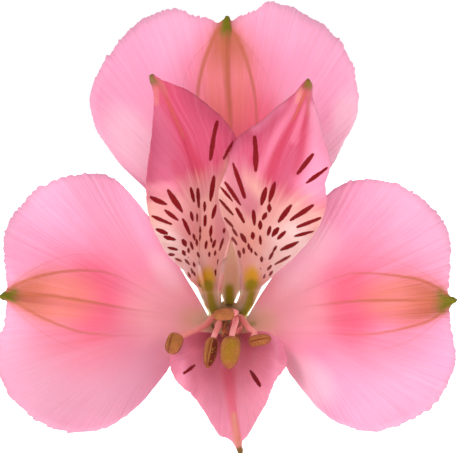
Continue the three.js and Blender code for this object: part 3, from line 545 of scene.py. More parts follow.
class BloomStageSettings(bpy.types.PropertyGroup):
    """Camera, light and floor."""

    distance: length("Camera distance", "From the camera to the bloom", 2800)
    frame_width: length("Frame width", "Width of the picture at the bloom", 73.6)
    frame_u: FloatProperty(name="Frame middle, across", unit="LENGTH", default=0.32 * MM,
                           description="Middle of the picture in the face frame")
    frame_v: FloatProperty(name="Frame middle, up", unit="LENGTH", default=15.28 * MM,
                           description="Middle of the picture in the face frame")
    sky: FloatProperty(name="Sky strength", description="Light from all sides", default=0.69,
                       min=0)
    key: FloatProperty(name="Key power", description="Power of the soft key light", default=1.9,
                       min=0, subtype="POWER")
    floor_glow: FloatProperty(name="Floor glow", default=0.33, min=0,
                              description="How far the pale floor is lifted towards white")


# ---- Small maths -------------------------------------------------------------------------------

def place(points):
    """Face-frame millimetres to metres in the part's frame."""
    u, v, w = np.moveaxis(np.asarray(points, float), -1, 0)
    sine, cosine = math.sin(FACE_TILT), math.cos(FACE_TILT)
    x = u + FACE_ORIGIN[0]
    y = v * sine - w * cosine + FACE_ORIGIN[1]
    z = v * cosine + w * sine + FACE_ORIGIN[2]
    return MM * np.stack([x, y, z], -1)


def smooth(x, low, high):
    """0 below low, 1 above high, and an even S between; low may be the larger one."""
    f = np.clip((np.asarray(x, float) - low) / (high - low), 0, 1)
    return f * f * (3 - 2 * f)


def unit(vectors):
    return vectors / np.maximum(np.linalg.norm(vectors, axis=-1, keepdims=True), 1e-9)


def curve_point(points, x):
    """Catmull-Rom curve through the points, at fractions x of its spans."""
    points = np.asarray(points, float)
    ends = [2 * points[0] - points[1]], [2 * points[-1] - points[-2]]
    padded = np.vstack([ends[0], points, ends[1]])
    spans = len(points) - 1
    k = np.clip((x * spans).astype(int), 0, spans - 1)
    f = (x * spans - k)[:, None]
    a, b, c, d = (padded[k + i] for i in range(4))
    return 0.5 * (2 * b + (c - a) * f + (2 * a - 5 * b + 4 * c - d) * f ** 2
                  + (3 * b - a - 3 * c + d) * f ** 3)


def dense(points, steps):
    """The smooth line through given points, with that many steps in each span."""
    return curve_point(points, np.linspace(0, 1, steps * (len(points) - 1) + 1))


def wander(x, seed):
    """Smooth noise along x with one random value for each whole number, from -1 to 1."""
    values = np.random.default_rng(seed).uniform(-1, 1, NOISE_VALUES)
    k = np.floor(x).astype(int)
    here, after = values[k % NOISE_VALUES], values[(k + 1) % NOISE_VALUES]
    return here + (after - here) * smooth(x - k, 0, 1)


def segment_distance(points, start, end):
    """Distance of each point to a segment, and how far along it the nearest place is."""
    start, end = np.asarray(start, float), np.asarray(end, float)
    run = end - start
    along = np.clip((points - start) @ run / max(run @ run, 1e-9), 0, 1)
    return np.linalg.norm(points - start - along[..., None] * run, axis=-1), along


def line_distance(points, line):
    """Distance of each point to a line of points, and how far along it the nearest place is."""
    nearest = np.full(points.shape[:-1], FAR)
    place_on = np.zeros(points.shape[:-1])
    for k in range(len(line) - 1):
        gap, along = segment_distance(points, line[k], line[k + 1])
        closer = gap < nearest
        nearest[closer] = gap[closer]
        place_on[closer] = (k + along[closer]) / (len(line) - 1)
    return nearest, place_on


def spot(points, centre, radii, turn=0.0):
    """1 in the middle of an ellipse, fading to 0 a little outside it."""
    angle = math.radians(turn)
    x, y = np.moveaxis(points - np.asarray(centre, float), -1, 0)
    across = (x * math.cos(angle) + y * math.sin(angle)) / radii[0]
    up = (y * math.cos(angle) - x * math.sin(angle)) / radii[1]
    return smooth(np.hypot(across, up), *SPOT_FADE)


def spots(points, several):
    """The strongest of several spots at each point."""
    return np.max([spot(points, *each) for each in several], axis=0)


def fractions(steps):
    """From 0 to 1 in even steps, as a column."""
    return np.linspace(0, 1, steps + 1)[:, None]


def around(sides):
    """Even angles round a full turn."""
    return np.linspace(0, 2 * math.pi, sides, endpoint=False)


# ---- Meshes ------------------------------------------------------------------------------------

def added(name, data):
    """New object in the scene, at the origin."""
    thing = bpy.data.objects.new(name, data)
    bpy.context.scene.collection.objects.link(thing)
    return thing


def piece_from(name, points, faces, marks, uv=None):
    """New object from points in the part's frame and faces of three or four corners."""
    mesh = bpy.data.meshes.new(name)
    mesh.from_pydata(points.reshape(-1, 3), [], faces)
    for key, values in marks.items():
        layer = mesh.attributes.new(key, "FLOAT", "POINT")
        layer.data.foreach_set("value", np.asarray(values, np.float32).ravel())
    if uv is not None:
        corners = np.empty(len(mesh.loops), np.int32)
        mesh.loops.foreach_get("vertex_index", corners)
        layer = mesh.uv_layers.new(name="blade")
        layer.data.foreach_set("uv", uv.reshape(-1, 2)[corners].astype(np.float32).ravel())
    mesh.polygons.foreach_set("use_smooth", np.ones(len(mesh.polygons), bool))
    mesh.update()
    return added(name, mesh)


def grid_faces(rows, columns):
    """Corners of every cell of a grid of points, row by row."""
    corner = (np.arange(rows)[:, None] * (columns + 1) + np.arange(columns)).ravel()
    return np.stack([corner, corner + columns + 1, corner + columns + 2, corner + 1], -1)


def shell_faces(rows, columns):
    """Faces of a closed blade whose front points come first and its back points after them."""
    front = grid_faces(rows, columns)
    layer = (rows + 1) * (columns + 1)
    index = np.arange(layer).reshape(rows + 1, columns + 1)
    walls = []
    for edge in (index[0], index[:, -1], index[-1, ::-1], index[::-1, 0]):
        a, b = edge[:-1], edge[1:]
        walls.append(np.stack([a, b, b + layer, a + layer], -1))
    return np.vstack([front, front[:, ::-1] + layer, *walls]).tolist()


def tube_faces(rings, sides):
    """Faces of a closed tube: rings of points, then one pole for each end."""
    faces = []
    first_pole, last_pole = rings * sides, rings * sides + 1
    for j in range(sides):
        after = (j + 1) % sides
        faces += [(i * sides + j, i * sides + after, (i + 1) * sides + after, (i + 1) * sides + j)
                  for i in range(rings - 1)]
        faces.append((first_pole, after, j))
        faces.append((last_pole, (rings - 1) * sides + j, (rings - 1) * sides + after))
    return faces


def swept(centres, radii, reference=(1, 0, 0)):
    """Points of a tube round the centres, and its two poles. radii has a row for each centre,
    and the first side of each row faces the reference."""
    tangents = unit(np.gradient(centres, axis=0))
    reference = np.asarray(reference, float)
    first = unit(reference - (tangents @ reference)[:, None] * tangents)
    second = np.cross(tangents, first)
    a = around(radii.shape[1])[:, None]
    rings = (centres[:, None]
             + radii[..., None] * (np.cos(a) * first[:, None] + np.sin(a) * second[:, None]))
    return np.vstack([rings.reshape(-1, 3), centres[:1], centres[-1:]])


def with_poles(grid):
    """A value for each ring point, and the ends' means for the two poles."""
    return np.concatenate([grid.ravel(), [grid[0].mean(), grid[-1].mean()]])


def tube_piece(name, points, marks):
    """Closed tube from its points in the face frame; a mark has a row for each ring."""
    rings, sides = next(iter(marks.values())).shape
    return piece_from(name, place(points), tube_faces(rings, sides),
                      {key: with_poles(value) for key, value in marks.items()})


def finish_piece(piece, material, nodes=()):
    """Gives a piece its material, lets it ride on the part and stand for its nodes."""
    piece.data.materials.clear()
    piece.data.materials.append(material)
    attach(piece, "root")
    if nodes:
        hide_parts(*nodes)


# ---- Blades ------------------------------------------------------------------------------------

def kind_of(tepal):
    """outer, upper or lower; the upper and the lower ones are inner tepals."""
    if tepal["whorl"] == "outer":
        return "outer"
    return "upper" if "pale_line" in tepal else "lower"


def relaxed(line, passes):
    """Evens out a line of points, whose ends stay."""
    for _ in range(passes):
        line[1:-1] += 0.25 * (line[:-2] - 2 * line[1:-1] + line[2:])
    return line


def blade_surface(tepal, rows, columns):
    """Middle surface of a blade, with its s from claw to rim and its t from flank to flank."""
    s = np.linspace(0, 1, rows + 1)[:, None, None]
    t = np.linspace(-1, 1, columns + 1)
    q = 1 - s

    def parabola(three):
        first, middle, last = (np.asarray(point, float) for point in three)
        return ((t * (t - 1) / 2)[:, None] * first + (1 - t * t)[:, None] * middle
                + (t * (t + 1) / 2)[:, None] * last)

    rim = curve_point(tepal["rim"], (t + 1) / 2)
    spread = 1.2 * columns / (len(tepal["rim"]) - 1)
    inner_rim = relaxed(rim.copy(), round(2 * spread ** 2))
    rim = inner_rim + smooth(s, 0.6, 1) * (rim - inner_rim)
    angle = np.radians(tepal["angle"] + tepal["claw"] * t)
    ring = RING_RADIUS[tepal["whorl"]]
    foot = np.stack([ring * np.cos(angle), ring * np.sin(angle), np.full_like(t, FOOT_GAP)], -1)
    points = (q ** 3 * foot + 3 * s * q * q * parabola(tepal["throat"])
              + 3 * s * s * q * parabola(tepal["bend"])
              + s ** 3 * rim)
    s = s[..., 0] * np.ones_like(t)
    t = t * np.ones_like(s)
    return points, s, t


def blade_normals(points):
    return unit(np.cross(np.gradient(points, axis=0), np.gradient(points, axis=1)))


def rim_teeth(arc, spacing, height, seed):
    """Reach of small, uneven, rounded teeth along a rim, at the given lengths along it."""
    draw = np.random.default_rng(seed)
    count = int(arc[-1] / spacing * 2) + 4
    ends = np.cumsum(draw.uniform(0.45, 1.55, count) * spacing)
    heights = draw.uniform(0.15, 1, count) ** 1.5 * height
    k = np.searchsorted(ends, arc)
    start = np.concatenate([[0], ends])[k]
    f = (arc - start) / (ends[k] - start)
    return heights[k] * np.sin(math.pi * f ** 0.7) ** 0.6


def vein_fields(tepal, uv):
    """For each vein, the distance from it in half widths, below 0 on its left side, and its
    strength, which fades towards its inner end and away from it."""
    fields, strengths = [], []
    for width, line in tepal["veins"]:
        line = dense(line, 6)
        gap, along = line_distance(uv, line)
        k = np.clip((along * (len(line) - 1)).astype(int), 0, len(line) - 2)
        run, away = (line[1:] - line[:-1])[k], uv - line[k]
        side = np.sign(run[..., 0] * away[..., 1] - run[..., 1] * away[..., 0])
        fields.append(-side * gap / (width / 2 * (1 - VEIN_TAPER * along)))
        strengths.append(smooth(along, *VEIN_END) * smooth(np.abs(fields[-1]), *VEIN_SIDE))
    return fields, strengths


def streak_field(streaks, uv):
    """Distance to the edge of the nearest streak, below 0 inside it."""
    field = np.full(uv.shape[:-1], FAR)
    for k, (u0, v0, u1, v1, size) in enumerate(streaks):
        width = STREAK_GROWTH * size - STREAK_TRIM
        gap, along = segment_distance(uv, (u0, v0), (u1, v1))
        swell = 0.3 + 0.8 * np.sin(math.pi * (0.06 + 0.88 * along)) ** 0.7
        swell = swell + 0.16 * wander(along * 3 + 5 * k, 31)
        field = np.minimum(field, gap - width / 2 * swell)
    return field


def soft_strokes(strokes, uv):
    """Strength of the soft strokes at each point; widths run from the first end to the last."""
    value = np.zeros(uv.shape[:-1])
    for strength, first, last, line in strokes:
        gap, along = line_distance(uv, dense(line, 6))
        half = (first + (last - first) * along) / 2
        value = np.maximum(value, strength * smooth(gap / half, *STROKE_FADE))
    return value


def wedge(tepal, uv, reach, foot, spread):
    """1 at the tip of a tepal, fading down a wedge that opens along its midrib. foot is the
    wedge's half width at the tip."""
    run = unit(np.asarray(tepal["tip_run"], float))
    x, y = np.moveaxis(uv - np.asarray(tepal["tip"], float), -1, 0)
    down = x * run[0] + y * run[1]
    side = np.abs(y * run[0] - x * run[1]) / (foot + spread * np.maximum(down, 0))
    return smooth(down, reach, 0.3 * reach) * smooth(side, 1.4, 0.5)


def evened(points, s):
    """Gives the open part of a blade one smooth depth over its outline, with no crease."""
    flat = points[..., :2]
    x, y = np.moveaxis((flat - flat.mean((0, 1))) / flat.std((0, 1)), -1, 0)
    terms = np.stack([x ** i * y ** j for i in range(DEPTH_DEGREE + 1)
                      for j in range(DEPTH_DEGREE + 1 - i)], -1)
    fitted = s > 0.3
    shares = np.linalg.lstsq(terms[fitted], points[fitted][:, 2], rcond=None)[0]
    points[..., 2] += smooth(s, 0.35, 0.6) * (terms @ shares - points[..., 2])
    return points


def shaped(tepal, points, s, t):
    """Moves a blade's keel, narrows its claw, evens its depth and waves its rim."""
    keel = smooth(s, 0.38, 0.72) * smooth(s, 1, 0.84)
    points[..., 0] += tepal["lean"] * keel * (1 - t * t)
    middle = points[:, points.shape[1] // 2, None, :2]
    pinch = tepal["pinch"] * smooth(s, 0.42, 0.16)[..., None]
    points[..., :2] += pinch * (middle - points[..., :2])
    points = evened(points, s)
    points[..., 2] += tepal["ruffle"] * s ** 4 * np.sin(tepal["waves"] * math.pi * t)
    return points


def rim_reach(tepal, t, arc, settings):
    """How far teeth, unevenness and the tip's point move each point of a rim outwards."""
    seed = tepal["seed"]
    from_tip = arc - arc[len(arc) // 2]
    toothed = smooth(np.abs(t), 0.98, 0.74) * smooth(np.abs(from_tip), 1, 3.5)
    spacing, tall = settings.tooth_spacing / MM, settings.tooth_height / MM
    teeth = (rim_teeth(arc, spacing, tall, seed)
             + rim_teeth(arc, FINE_TEETH * spacing, FINE_TEETH * tall, seed + 9)
             + 0.2 * wander(arc / 2.6 + 9, seed + 4))
    point = (0.3 * np.exp(-(from_tip / 0.35) ** 2)
             - 0.15 * np.exp(-((np.abs(from_tip) - 1.5) / 0.7) ** 2))
    return TEETH[kind_of(tepal)] * (teeth * toothed + point)


def blade_height(tepal, s, t, arc, settings):
    """Height of the pleats, the waves along the rim and the broad swells."""
    seed = tepal["seed"]
    inside = smooth(np.abs(t), 1, 0.8)
    pleats = wander(t * PLEATS + 80, seed) + 0.7 * wander(t * FINE_PLEATS + 180, seed + 1)
    height = settings.pleat_height / MM * pleats * smooth(s, 0.68, 1)
    waves = RIM_WAVE * wander(arc / RIM_WAVE_LENGTH + 20, seed + 2)
    height += waves * smooth(s, 0.72, 1) * inside
    height += SWELL * wander(t * SWELLS + 30, seed + 3) * smooth(s, 0.35, 0.8) * inside
    return height


def blade_marks(node, tepal, uv, s):
    """Markings of one tepal, each as a value for every point of its blade."""
    kind = kind_of(tepal)
    marks = {
        "tip": wedge(tepal, uv, *TIP_WEDGES[node]) * smooth(s, 0.8, 0.9),
        "peach": soft_strokes(tepal["peach"], uv),
    }
    if kind == "outer":
        for k, (field, strength) in enumerate(zip(*vein_fields(tepal, uv))):
            marks[f"vein_{k}"], marks[f"vein_{k}_strength"] = field, strength
        for key in ("flush", "halo", "salmon"):
            marks[key] = spot(uv, *tepal[key])
        marks["salmon"] *= tepal["salmon_share"]
        # Spots of painted shade, and spots of painted light.
        for key in ("shade", "bright"):
            marks[key] = spots(uv, tepal[key])
        marks["green"] = soft_strokes(tepal["green"], uv)
        marks["near_rim"] = smooth(s, 0.5, 1)
        marks["below_tip"] = wedge(tepal, uv, *BELOW_TIP) * smooth(s, 0.7, 0.85)
        marks["throat"] = smooth(np.linalg.norm(uv, axis=-1), 15, 4)
        marks["claw"] = smooth(s, 0.42, 0.18)
        return marks
    # The cool pink strokes are partly painted shade, and the light strokes are painted light.
    for key in ("dark", "mauve_and_painted_shade", "light", "brown"):
        marks[key] = soft_strokes(tepal[key], uv)
    marks["streak"] = streak_field(tepal["streaks"], uv) + FAR * smooth(s, 0.45, 0.3)
    if kind == "upper":
        line = np.asarray(tepal["pale_line"])
        marks["pale"] = np.interp(uv[..., 0], line[:, 0], line[:, 1]) - uv[..., 1]
        across, up = tepal["nectar"]
        marks["nectar"] = spot(uv, (across, up - 0.1), (1.35, 2))
        marks["nectar_green"] = spot(uv, (across, up - 1.25), (1.15, 1.1))
        # Partly painted light: the white spots whiten the pale field most at its foot, which lies
        # deep in shade.
        marks["white"] = spots(uv, tepal["white"])
        for key in ("green", "blush"):
            marks[key] = soft_strokes(tepal[key], uv)
        marks["claw"] = smooth(uv[..., 1], 5.6, 4.7)
        marks["thin"] = smooth(uv[..., 1], 14, 6)
    return marks


def build_blade(node, tepal, settings):
    """Closed blade of one tepal, with its markings as attributes."""
    if tepal["whorl"] == "outer":
        rows, cells = settings.outer_rows, settings.outer_cells
    else:
        rows, cells = settings.inner_rows, settings.inner_cells
    columns = cells * (len(tepal["rim"]) - 1)
    points, s, t = blade_surface(tepal, rows, columns)
    points = shaped(tepal, points, s, t)
    uv = points[..., :2].copy()

    steps = np.linalg.norm(np.diff(points[-1], axis=0), axis=-1)
    arc = np.concatenate([[0], np.cumsum(steps)])
    outward = unit(points[-1] - points[-4])
    reach = rim_reach(tepal, t[-1], arc, settings)
    points = points + outward * reach[:, None] * (smooth(s, 0.92, 1) ** 2)[..., None]
    height = blade_height(tepal, s, t, arc, settings)

    marks = blade_marks(node, tepal, uv, s)
    relief = np.zeros_like(s)
    for k in range(len(tepal.get("veins", ()))):
        ridge = smooth(np.abs(marks[f"vein_{k}"]), *VEIN_RIDGE)
        relief = np.maximum(relief, marks[f"vein_{k}_strength"] * ridge)
    if "fold" in tepal:
        width, line = tepal["fold"]
        gap = line_distance(uv, dense(line, 4))[0]
        height -= FOLD_DEPTH * np.exp(-(gap / width) ** 2) * smooth(s, 0.3, 0.6)

    claw = settings.claw_thickness / MM * smooth(s, 0.45, 0.05)
    rim_share = settings.rim_thickness / settings.thickness
    edge = np.minimum(smooth(s, 1, 0.985), smooth(np.abs(t), 1, 0.985))
    near_rim = smooth(s, 0.97, 0.7)
    half = (settings.thickness / MM * (rim_share + (1 - rim_share) * near_rim) + claw) / 2
    half = half * (0.35 + 0.65 * edge) + TIP_SWELL * marks["tip"]
    height -= 0.3 * settings.vein_relief / MM * relief
    points = points + blade_normals(points) * height[..., None]
    normals = blade_normals(points)
    back = half + settings.vein_relief / MM * relief
    front = place(points + normals * half[..., None])
    behind = place(points - normals * back[..., None])
    for layer in (front, behind):
        layer[..., 2] = np.maximum(layer[..., 2], FLOOR_GAP * MM)

    both = {key: np.stack([value, value]) for key, value in marks.items()}
    both["front"] = np.stack([np.ones_like(s), np.zeros_like(s)])
    fan = np.stack([t / 2 + 0.5, s], -1)
    return piece_from(f"{node}_blade", np.stack([front, behind]), shell_faces(rows, columns),
                      both, np.stack([fan, fan]))


# ---- Materials ---------------------------------------------------------------------------------

class Finish:
    """A material, built by short calls that each add one node and return its output."""

    def __init__(self, name):
        self.material = bpy.data.materials.new(name)
        self.material.use_nodes = True
        self.nodes = self.material.node_tree.nodes
        self.surface = self.nodes["Principled BSDF"]
        self.object = self.nodes.new("ShaderNodeTexCoord").outputs["Object"]

    def put(self, socket, value):
        if isinstance(value, bpy.types.NodeSocket):
            self.material.node_tree.links.new(value, socket)
        elif socket.type == "RGBA" and len(value) == 3:
            socket.default_value = (*value, 1)
        else:
            socket.default_value = value

    def attribute(self, name):
        node = self.nodes.new("ShaderNodeAttribute")
        node.attribute_name = name
        return node.outputs["Fac"]

    def stretch(self, vector, scale):
        node = self.nodes.new("ShaderNodeMapping")
        self.put(node.inputs["Vector"], vector)
        node.inputs["Scale"].default_value = scale
        return node.outputs["Vector"]

    def noise(self, scale, detail=2.0, vector=None, roughness=0.5):
        node = self.nodes.new("ShaderNodeTexNoise")
        self.put(node.inputs["Vector"], vector or self.object)
        node.inputs["Scale"].default_value = scale
        node.inputs["Detail"].default_value = detail
        node.inputs["Roughness"].default_value = roughness
        return node.outputs["Fac"]

    def lengthwise(self, across, along, detail=2.0, roughness=0.5):
        """Noise that runs with a blade, on the blade's own coordinates."""
        node = self.nodes.new("ShaderNodeUVMap")
        node.uv_map = "blade"
        drawn_out = self.stretch(node.outputs["UV"], (across, along, 1))
        return self.noise(1, detail, drawn_out, roughness)

    def math(self, operation, first, second=0.0, third=0.0):
        node = self.nodes.new("ShaderNodeMath")
        node.operation = operation
        for socket, value in zip(node.inputs, (first, second, third)):
            self.put(socket, value)
        return node.outputs["Value"]

    def times(self, first, second):
        """Product of two masks."""
        return self.math("MULTIPLY", first, second)

    def scaled(self, value, factor, offset):
        """value times factor, plus offset."""
        return self.math("MULTIPLY_ADD", value, factor, offset)

    def ramp(self, value, low, high):
        """value eased from 0 at low to 1 at high."""
        node = self.nodes.new("ShaderNodeMapRange")
        node.interpolation_type = "SMOOTHSTEP"
        for key, each in (("Value", value), ("From Min", low), ("From Max", high)):
            self.put(node.inputs[key], each)
        return node.outputs["Result"]

    def mix(self, factor, first, second):
        node = self.nodes.new("ShaderNodeMix")
        node.data_type = "RGBA"
        sockets = [x for x in node.inputs if x.enabled]
        for socket, value in zip(sockets, (factor, first, second)):
            self.put(socket, value)
        return next(x for x in node.outputs if x.enabled)

    def lay(self, under, colour, mask, strength):
        """A colour laid over another where the mask is, at a strength."""
        return self.mix(self.times(mask, strength), under, colour)

    def bump(self, height, distance, normal=None):
        """Relief of a height from 0 to 1, distance millimetres tall."""
        node = self.nodes.new("ShaderNodeBump")
        node.inputs["Distance"].default_value = distance * MM
        self.put(node.inputs["Height"], height)
        if normal is not None:
            self.put(node.inputs["Normal"], normal)
        return node.outputs["Normal"]

    def done(self, colour, normal=None, **values):
        """Connects the colour and relief and sets the shader's plain values."""
        self.put(self.surface.inputs["Base Color"], colour)
        if normal is not None:
            self.put(self.surface.inputs["Normal"], normal)
        for key, value in values.items():
            self.put(self.surface.inputs[key.replace("_", " ").title().replace("Ior", "IOR")],
                     value)
        return self.material


def petal_surface(weight, reach):
    """Values of a petal's shader: how much light it lets in, and how far."""
    return {
        "roughness": 0.55, "specular_ior_level": 0.15, "subsurface_weight": weight,
        "subsurface_radius": (1, 0.6, 0.65), "subsurface_scale": reach * MM,
        "sheen_weight": 0.05, "sheen_roughness": 0.4,
    }


def petal_relief(finish):
    """Fine lengthwise pleats and the grain of the skin."""
    pleats = finish.lengthwise(260, 5, 3)
    grain = finish.noise(4200, 2)
    return finish.bump(grain, 0.03, finish.bump(pleats, 0.035))


def veinlets(finish, across, along, width):
    """Hair-fine lines that run with the blade, 1 on a line."""
    away = finish.math("ABSOLUTE", finish.math("SUBTRACT", finish.lengthwise(across, along), 0.5))
    return finish.ramp(away, width, 0.0)


def outer_tepal_material(colours):
    """Pale pink with a hot flush, a salmon field between brown veins and a green point."""
    finish = Finish("outer_tepal")
    lay, mark, times = finish.lay, finish.attribute, finish.times

    cloud = finish.ramp(finish.noise(85, 3), 0.36, 0.66)
    tint = lay(colours.petal, colours.petal_light, cloud, 0.5)
    near_rim, front = mark("near_rim"), mark("front")
    # Paler and greyer lines near the rim: partly the fine veining, partly painted light and painted
    # shade of the fine pleats.
    broad = finish.ramp(finish.lengthwise(110, 2.2, 3, 0.6), 0.42, 0.66)
    fine = finish.ramp(finish.lengthwise(420, 5, 2, 0.6), 0.42, 0.62)
    tint = lay(tint, colours.petal_light, times(broad, near_rim), 0.35)
    tint = lay(tint, colours.petal_shade, times(fine, near_rim), 0.22)
    tint = lay(tint, colours.petal_light, finish.math("SUBTRACT", 1.0, front), 0.35)
    # Painted light: the palest pink where the tepal lies in shade or shows a highlight.
    tint = lay(tint, colours.bright, mark("bright"), 0.6)
    # Painted shade: the greyer pink where the tepal turns from the light or lies in a crease.
    tint = lay(tint, colours.petal_shade, mark("shade"), 0.6)
    tint = lay(tint, colours.warm, mark("throat"), 0.3)

    breakup = finish.scaled(finish.lengthwise(60, 3, 3), 0.7, 0.6)
    tint = lay(tint, colours.flush, times(mark("halo"), breakup), 0.5)
    tint = lay(tint, colours.flush, times(mark("flush"), breakup), 0.6)
    tint = lay(tint, colours.salmon, times(mark("salmon"), breakup), 0.85)
    # Partly painted light: the peach strokes lay near-white peach on claws that lie deep in shade.
    peach = times(finish.math("MINIMUM", mark("peach"), 1.0), front)
    tint = finish.mix(peach, tint, colours.tongue_and_painted_light)
    hair = times(veinlets(finish, 75, 1.2, 0.03), mark("halo"))
    tint = lay(tint, colours.vein, hair, 0.12)
    tint = lay(tint, colours.flush, veinlets(finish, 130, 1.6, 0.02), 0.05)
    # Partly painted light: the pale tan of the claw, deep in shade.
    tint = lay(tint, colours.throat, mark("claw"), 0.75)
    tint = lay(tint, colours.leaf, times(mark("green"), front), 1.0)

    wobble = finish.scaled(finish.noise(700, 2), 0.9, -0.45)
    for k, share in enumerate(VEIN_SHARES):
        off = finish.math("ABSOLUTE", finish.math("ADD", mark(f"vein_{k}"), wobble))
        vein = times(finish.ramp(off, 2.3, 0.2), mark(f"vein_{k}_strength"))
        tint = lay(tint, colours.vein, vein, share)
    tint = lay(tint, colours.vein, mark("below_tip"), 0.85)
    tint = finish.mix(mark("tip"), tint, colours.tip)
    deep = times(mark("throat"), 0.8)
    glow = finish.scaled(finish.math("MAXIMUM", peach, deep), 0.6, 0.12)
    return finish.done(tint, petal_relief(finish), **petal_surface(glow, 0.5))


def inner_tepal_material(colours, name, banded):
    """Deep pink with darker folds; banded ones have a pale field, streaks and nectar mark."""
    finish = Finish(name)
    lay, mark = finish.lay, finish.attribute

    broad = finish.ramp(finish.lengthwise(90, 2.5, 3, 0.6), 0.38, 0.7)
    fine = finish.ramp(finish.lengthwise(300, 5, 2, 0.6), 0.42, 0.62)
    tint = lay(colours.inner if banded else colours.lower, colours.inner_pale_and_painted_light, broad, 0.12)
    tint = lay(tint, colours.mauve_and_painted_shade, fine, 0.2)
    # Painted shade in part: cooler pink on facets turned from the light and under the anthers.
    tint = lay(tint, colours.mauve_and_painted_shade, mark("mauve_and_painted_shade"), 0.9)
    # Painted light: the light strokes lighten margins and the edges of the V, which turn from the
    # light.
    tint = lay(tint, colours.inner_pale_and_painted_light, mark("light"), 1.0)
    tint = lay(tint, colours.inner_dark if banded else colours.flush, mark("dark"), 0.85)
    if banded:
        fingers = finish.scaled(finish.lengthwise(42, 1.5), 5.0, -2.5)
        below = finish.math("ADD", mark("pale"), fingers)
        cloud = finish.scaled(finish.noise(260, 3), 1.2, 0.2)
        # Partly painted light: whiter where the field lies deep in shade near its foot.
        pale = lay(colours.field, colours.pale, finish.times(mark("white"), cloud), 0.95)
        pale = lay(pale, colours.mauve_and_painted_shade, mark("blush"), 0.6)
        tint = finish.mix(finish.ramp(below, -2.8, 2.8), tint, pale)
    tint = lay(tint, colours.warm, mark("peach"), 0.8)
    if banded:
        # Partly painted light: the pale tan of the claw, deep in shade.
        tint = finish.mix(mark("claw"), tint, colours.throat)
        tint = finish.mix(mark("green"), tint, colours.leaf)
        tint = finish.mix(mark("nectar"), tint, colours.nectar)
        tint = finish.mix(mark("nectar_green"), tint, colours.leaf)
    tint = lay(tint, colours.inner_dark, veinlets(finish, 60, 1.4, 0.02), 0.16)

    edge = finish.scaled(finish.noise(2600, 2), 0.14, mark("streak"))
    dark = finish.times(finish.ramp(edge, 0.15, 0.02), finish.scaled(mark("front"), 0.45, 0.55))
    tint = finish.mix(dark, tint, colours.streak)
    tint = lay(tint, colours.vein, mark("brown"), 0.75)
    tint = finish.mix(mark("tip"), tint, colours.inner_tip)
    glow = finish.scaled(mark("thin"), 0.6, 0.1) if banded else 0.1
    return finish.done(tint, petal_relief(finish), **petal_surface(glow, 0.3))


def stalk_material(name, colour, darker, root_colour):
    """Soft stalk, turning towards a second colour at its root, with fine lengthwise grain."""
    finish = Finish(name)
    mottle = finish.ramp(finish.noise(420, 3), 0.35, 0.7)
    tint = finish.lay(colour, darker, mottle, 0.3)
    root = finish.ramp(finish.attribute("along"), 0.35, 0.0)
    tint = finish.mix(root, tint, root_colour)
    grain = finish.noise(1, 2, finish.stretch(finish.object, (5200, 5200, 900)))
    return finish.done(tint, finish.bump(grain, 0.04), roughness=0.4, specular_ior_level=0.35,
                       subsurface_weight=0.25, subsurface_radius=(1, 0.5, 0.4),
                       subsurface_scale=0.6 * MM)


def anther_material(colours):
    """Brown skin with an ochre, pollen-dusted face, dark slits and a dark open pod."""
    finish = Finish("anther")
    lay, mark = finish.lay, finish.attribute
    patches = finish.ramp(finish.noise(950, 3), 0.38, 0.62)
    tint = lay(colours.anther, colours.anther_edge, patches, 0.35)
    face = finish.times(mark("face"), finish.scaled(patches, 0.3, 0.75))
    tint = finish.mix(face, tint, colours.pollen_field)
    tint = lay(tint, colours.anther_edge, mark("edge"), 0.7)
    specks = finish.ramp(finish.noise(5200, 1), 0.62, 0.7)
    tint = lay(tint, colours.pollen, specks, 0.3)
    edge = finish.scaled(finish.noise(1800, 2), 0.3, mark("pod"))
    tint = finish.mix(finish.ramp(edge, 0.5, 0.75), tint, colours.pod)
    tint = lay(tint, colours.pod, mark("slit"), 0.85)
    grain = finish.noise(6500, 3, roughness=0.65)
    return finish.done(tint, finish.bump(grain, 0.09), roughness=0.75, specular_ior_level=0.2,
                       sheen_weight=0.06, sheen_roughness=0.5)


def pollen_material(colours):
    """Dry grains, from yellow to ochre."""
    finish = Finish("pollen")
    tint = finish.mix(finish.noise(9000, 1), colours.pollen, colours.pollen_field)
    return finish.done(tint, finish.bump(finish.noise(30000, 1), 0.01), roughness=0.8,
                       specular_ior_level=0.2)


def green_material(name, colour, darker, cut):
    """Green skin with darker grooves, fine pores and, where it is cut, a pale wet core."""
    finish = Finish(name)
    mottle = finish.ramp(finish.noise(260, 3), 0.35, 0.7)
    tint = finish.lay(colour, darker, mottle, 0.35)
    tint = finish.lay(tint, darker, finish.attribute("groove"), 0.6)
    pores = finish.ramp(finish.noise(3800, 1), 0.62, 0.72)
    tint = finish.lay(tint, cut, pores, 0.35)
    tint = finish.mix(finish.attribute("core"), tint, cut)
    grain = finish.noise(1, 3, finish.stretch(finish.object, (3600, 3600, 700)))
    return finish.done(tint, finish.bump(grain, 0.05), roughness=0.42, specular_ior_level=0.4,
                       subsurface_weight=0.12, subsurface_radius=(0.6, 1, 0.3),
                       subsurface_scale=0.6 * MM)


def floor_material(glow):
    """Pale paper, lifted a little towards white."""
    finish = Finish("floor")
    fibre = finish.ramp(finish.noise(900, 3), 0.3, 0.7)
    tint = finish.mix(fibre, (0.93, 0.93, 0.93), (0.95, 0.95, 0.95))
    finish.put(finish.surface.inputs["Emission Color"], (1, 1, 1))
    return finish.done(tint, finish.bump(fibre, 0.02), roughness=0.9, specular_ior_level=0.1,
                       emission_strength=glow)


# ---- Geometry Nodes ----------------------------------------------------------------------------

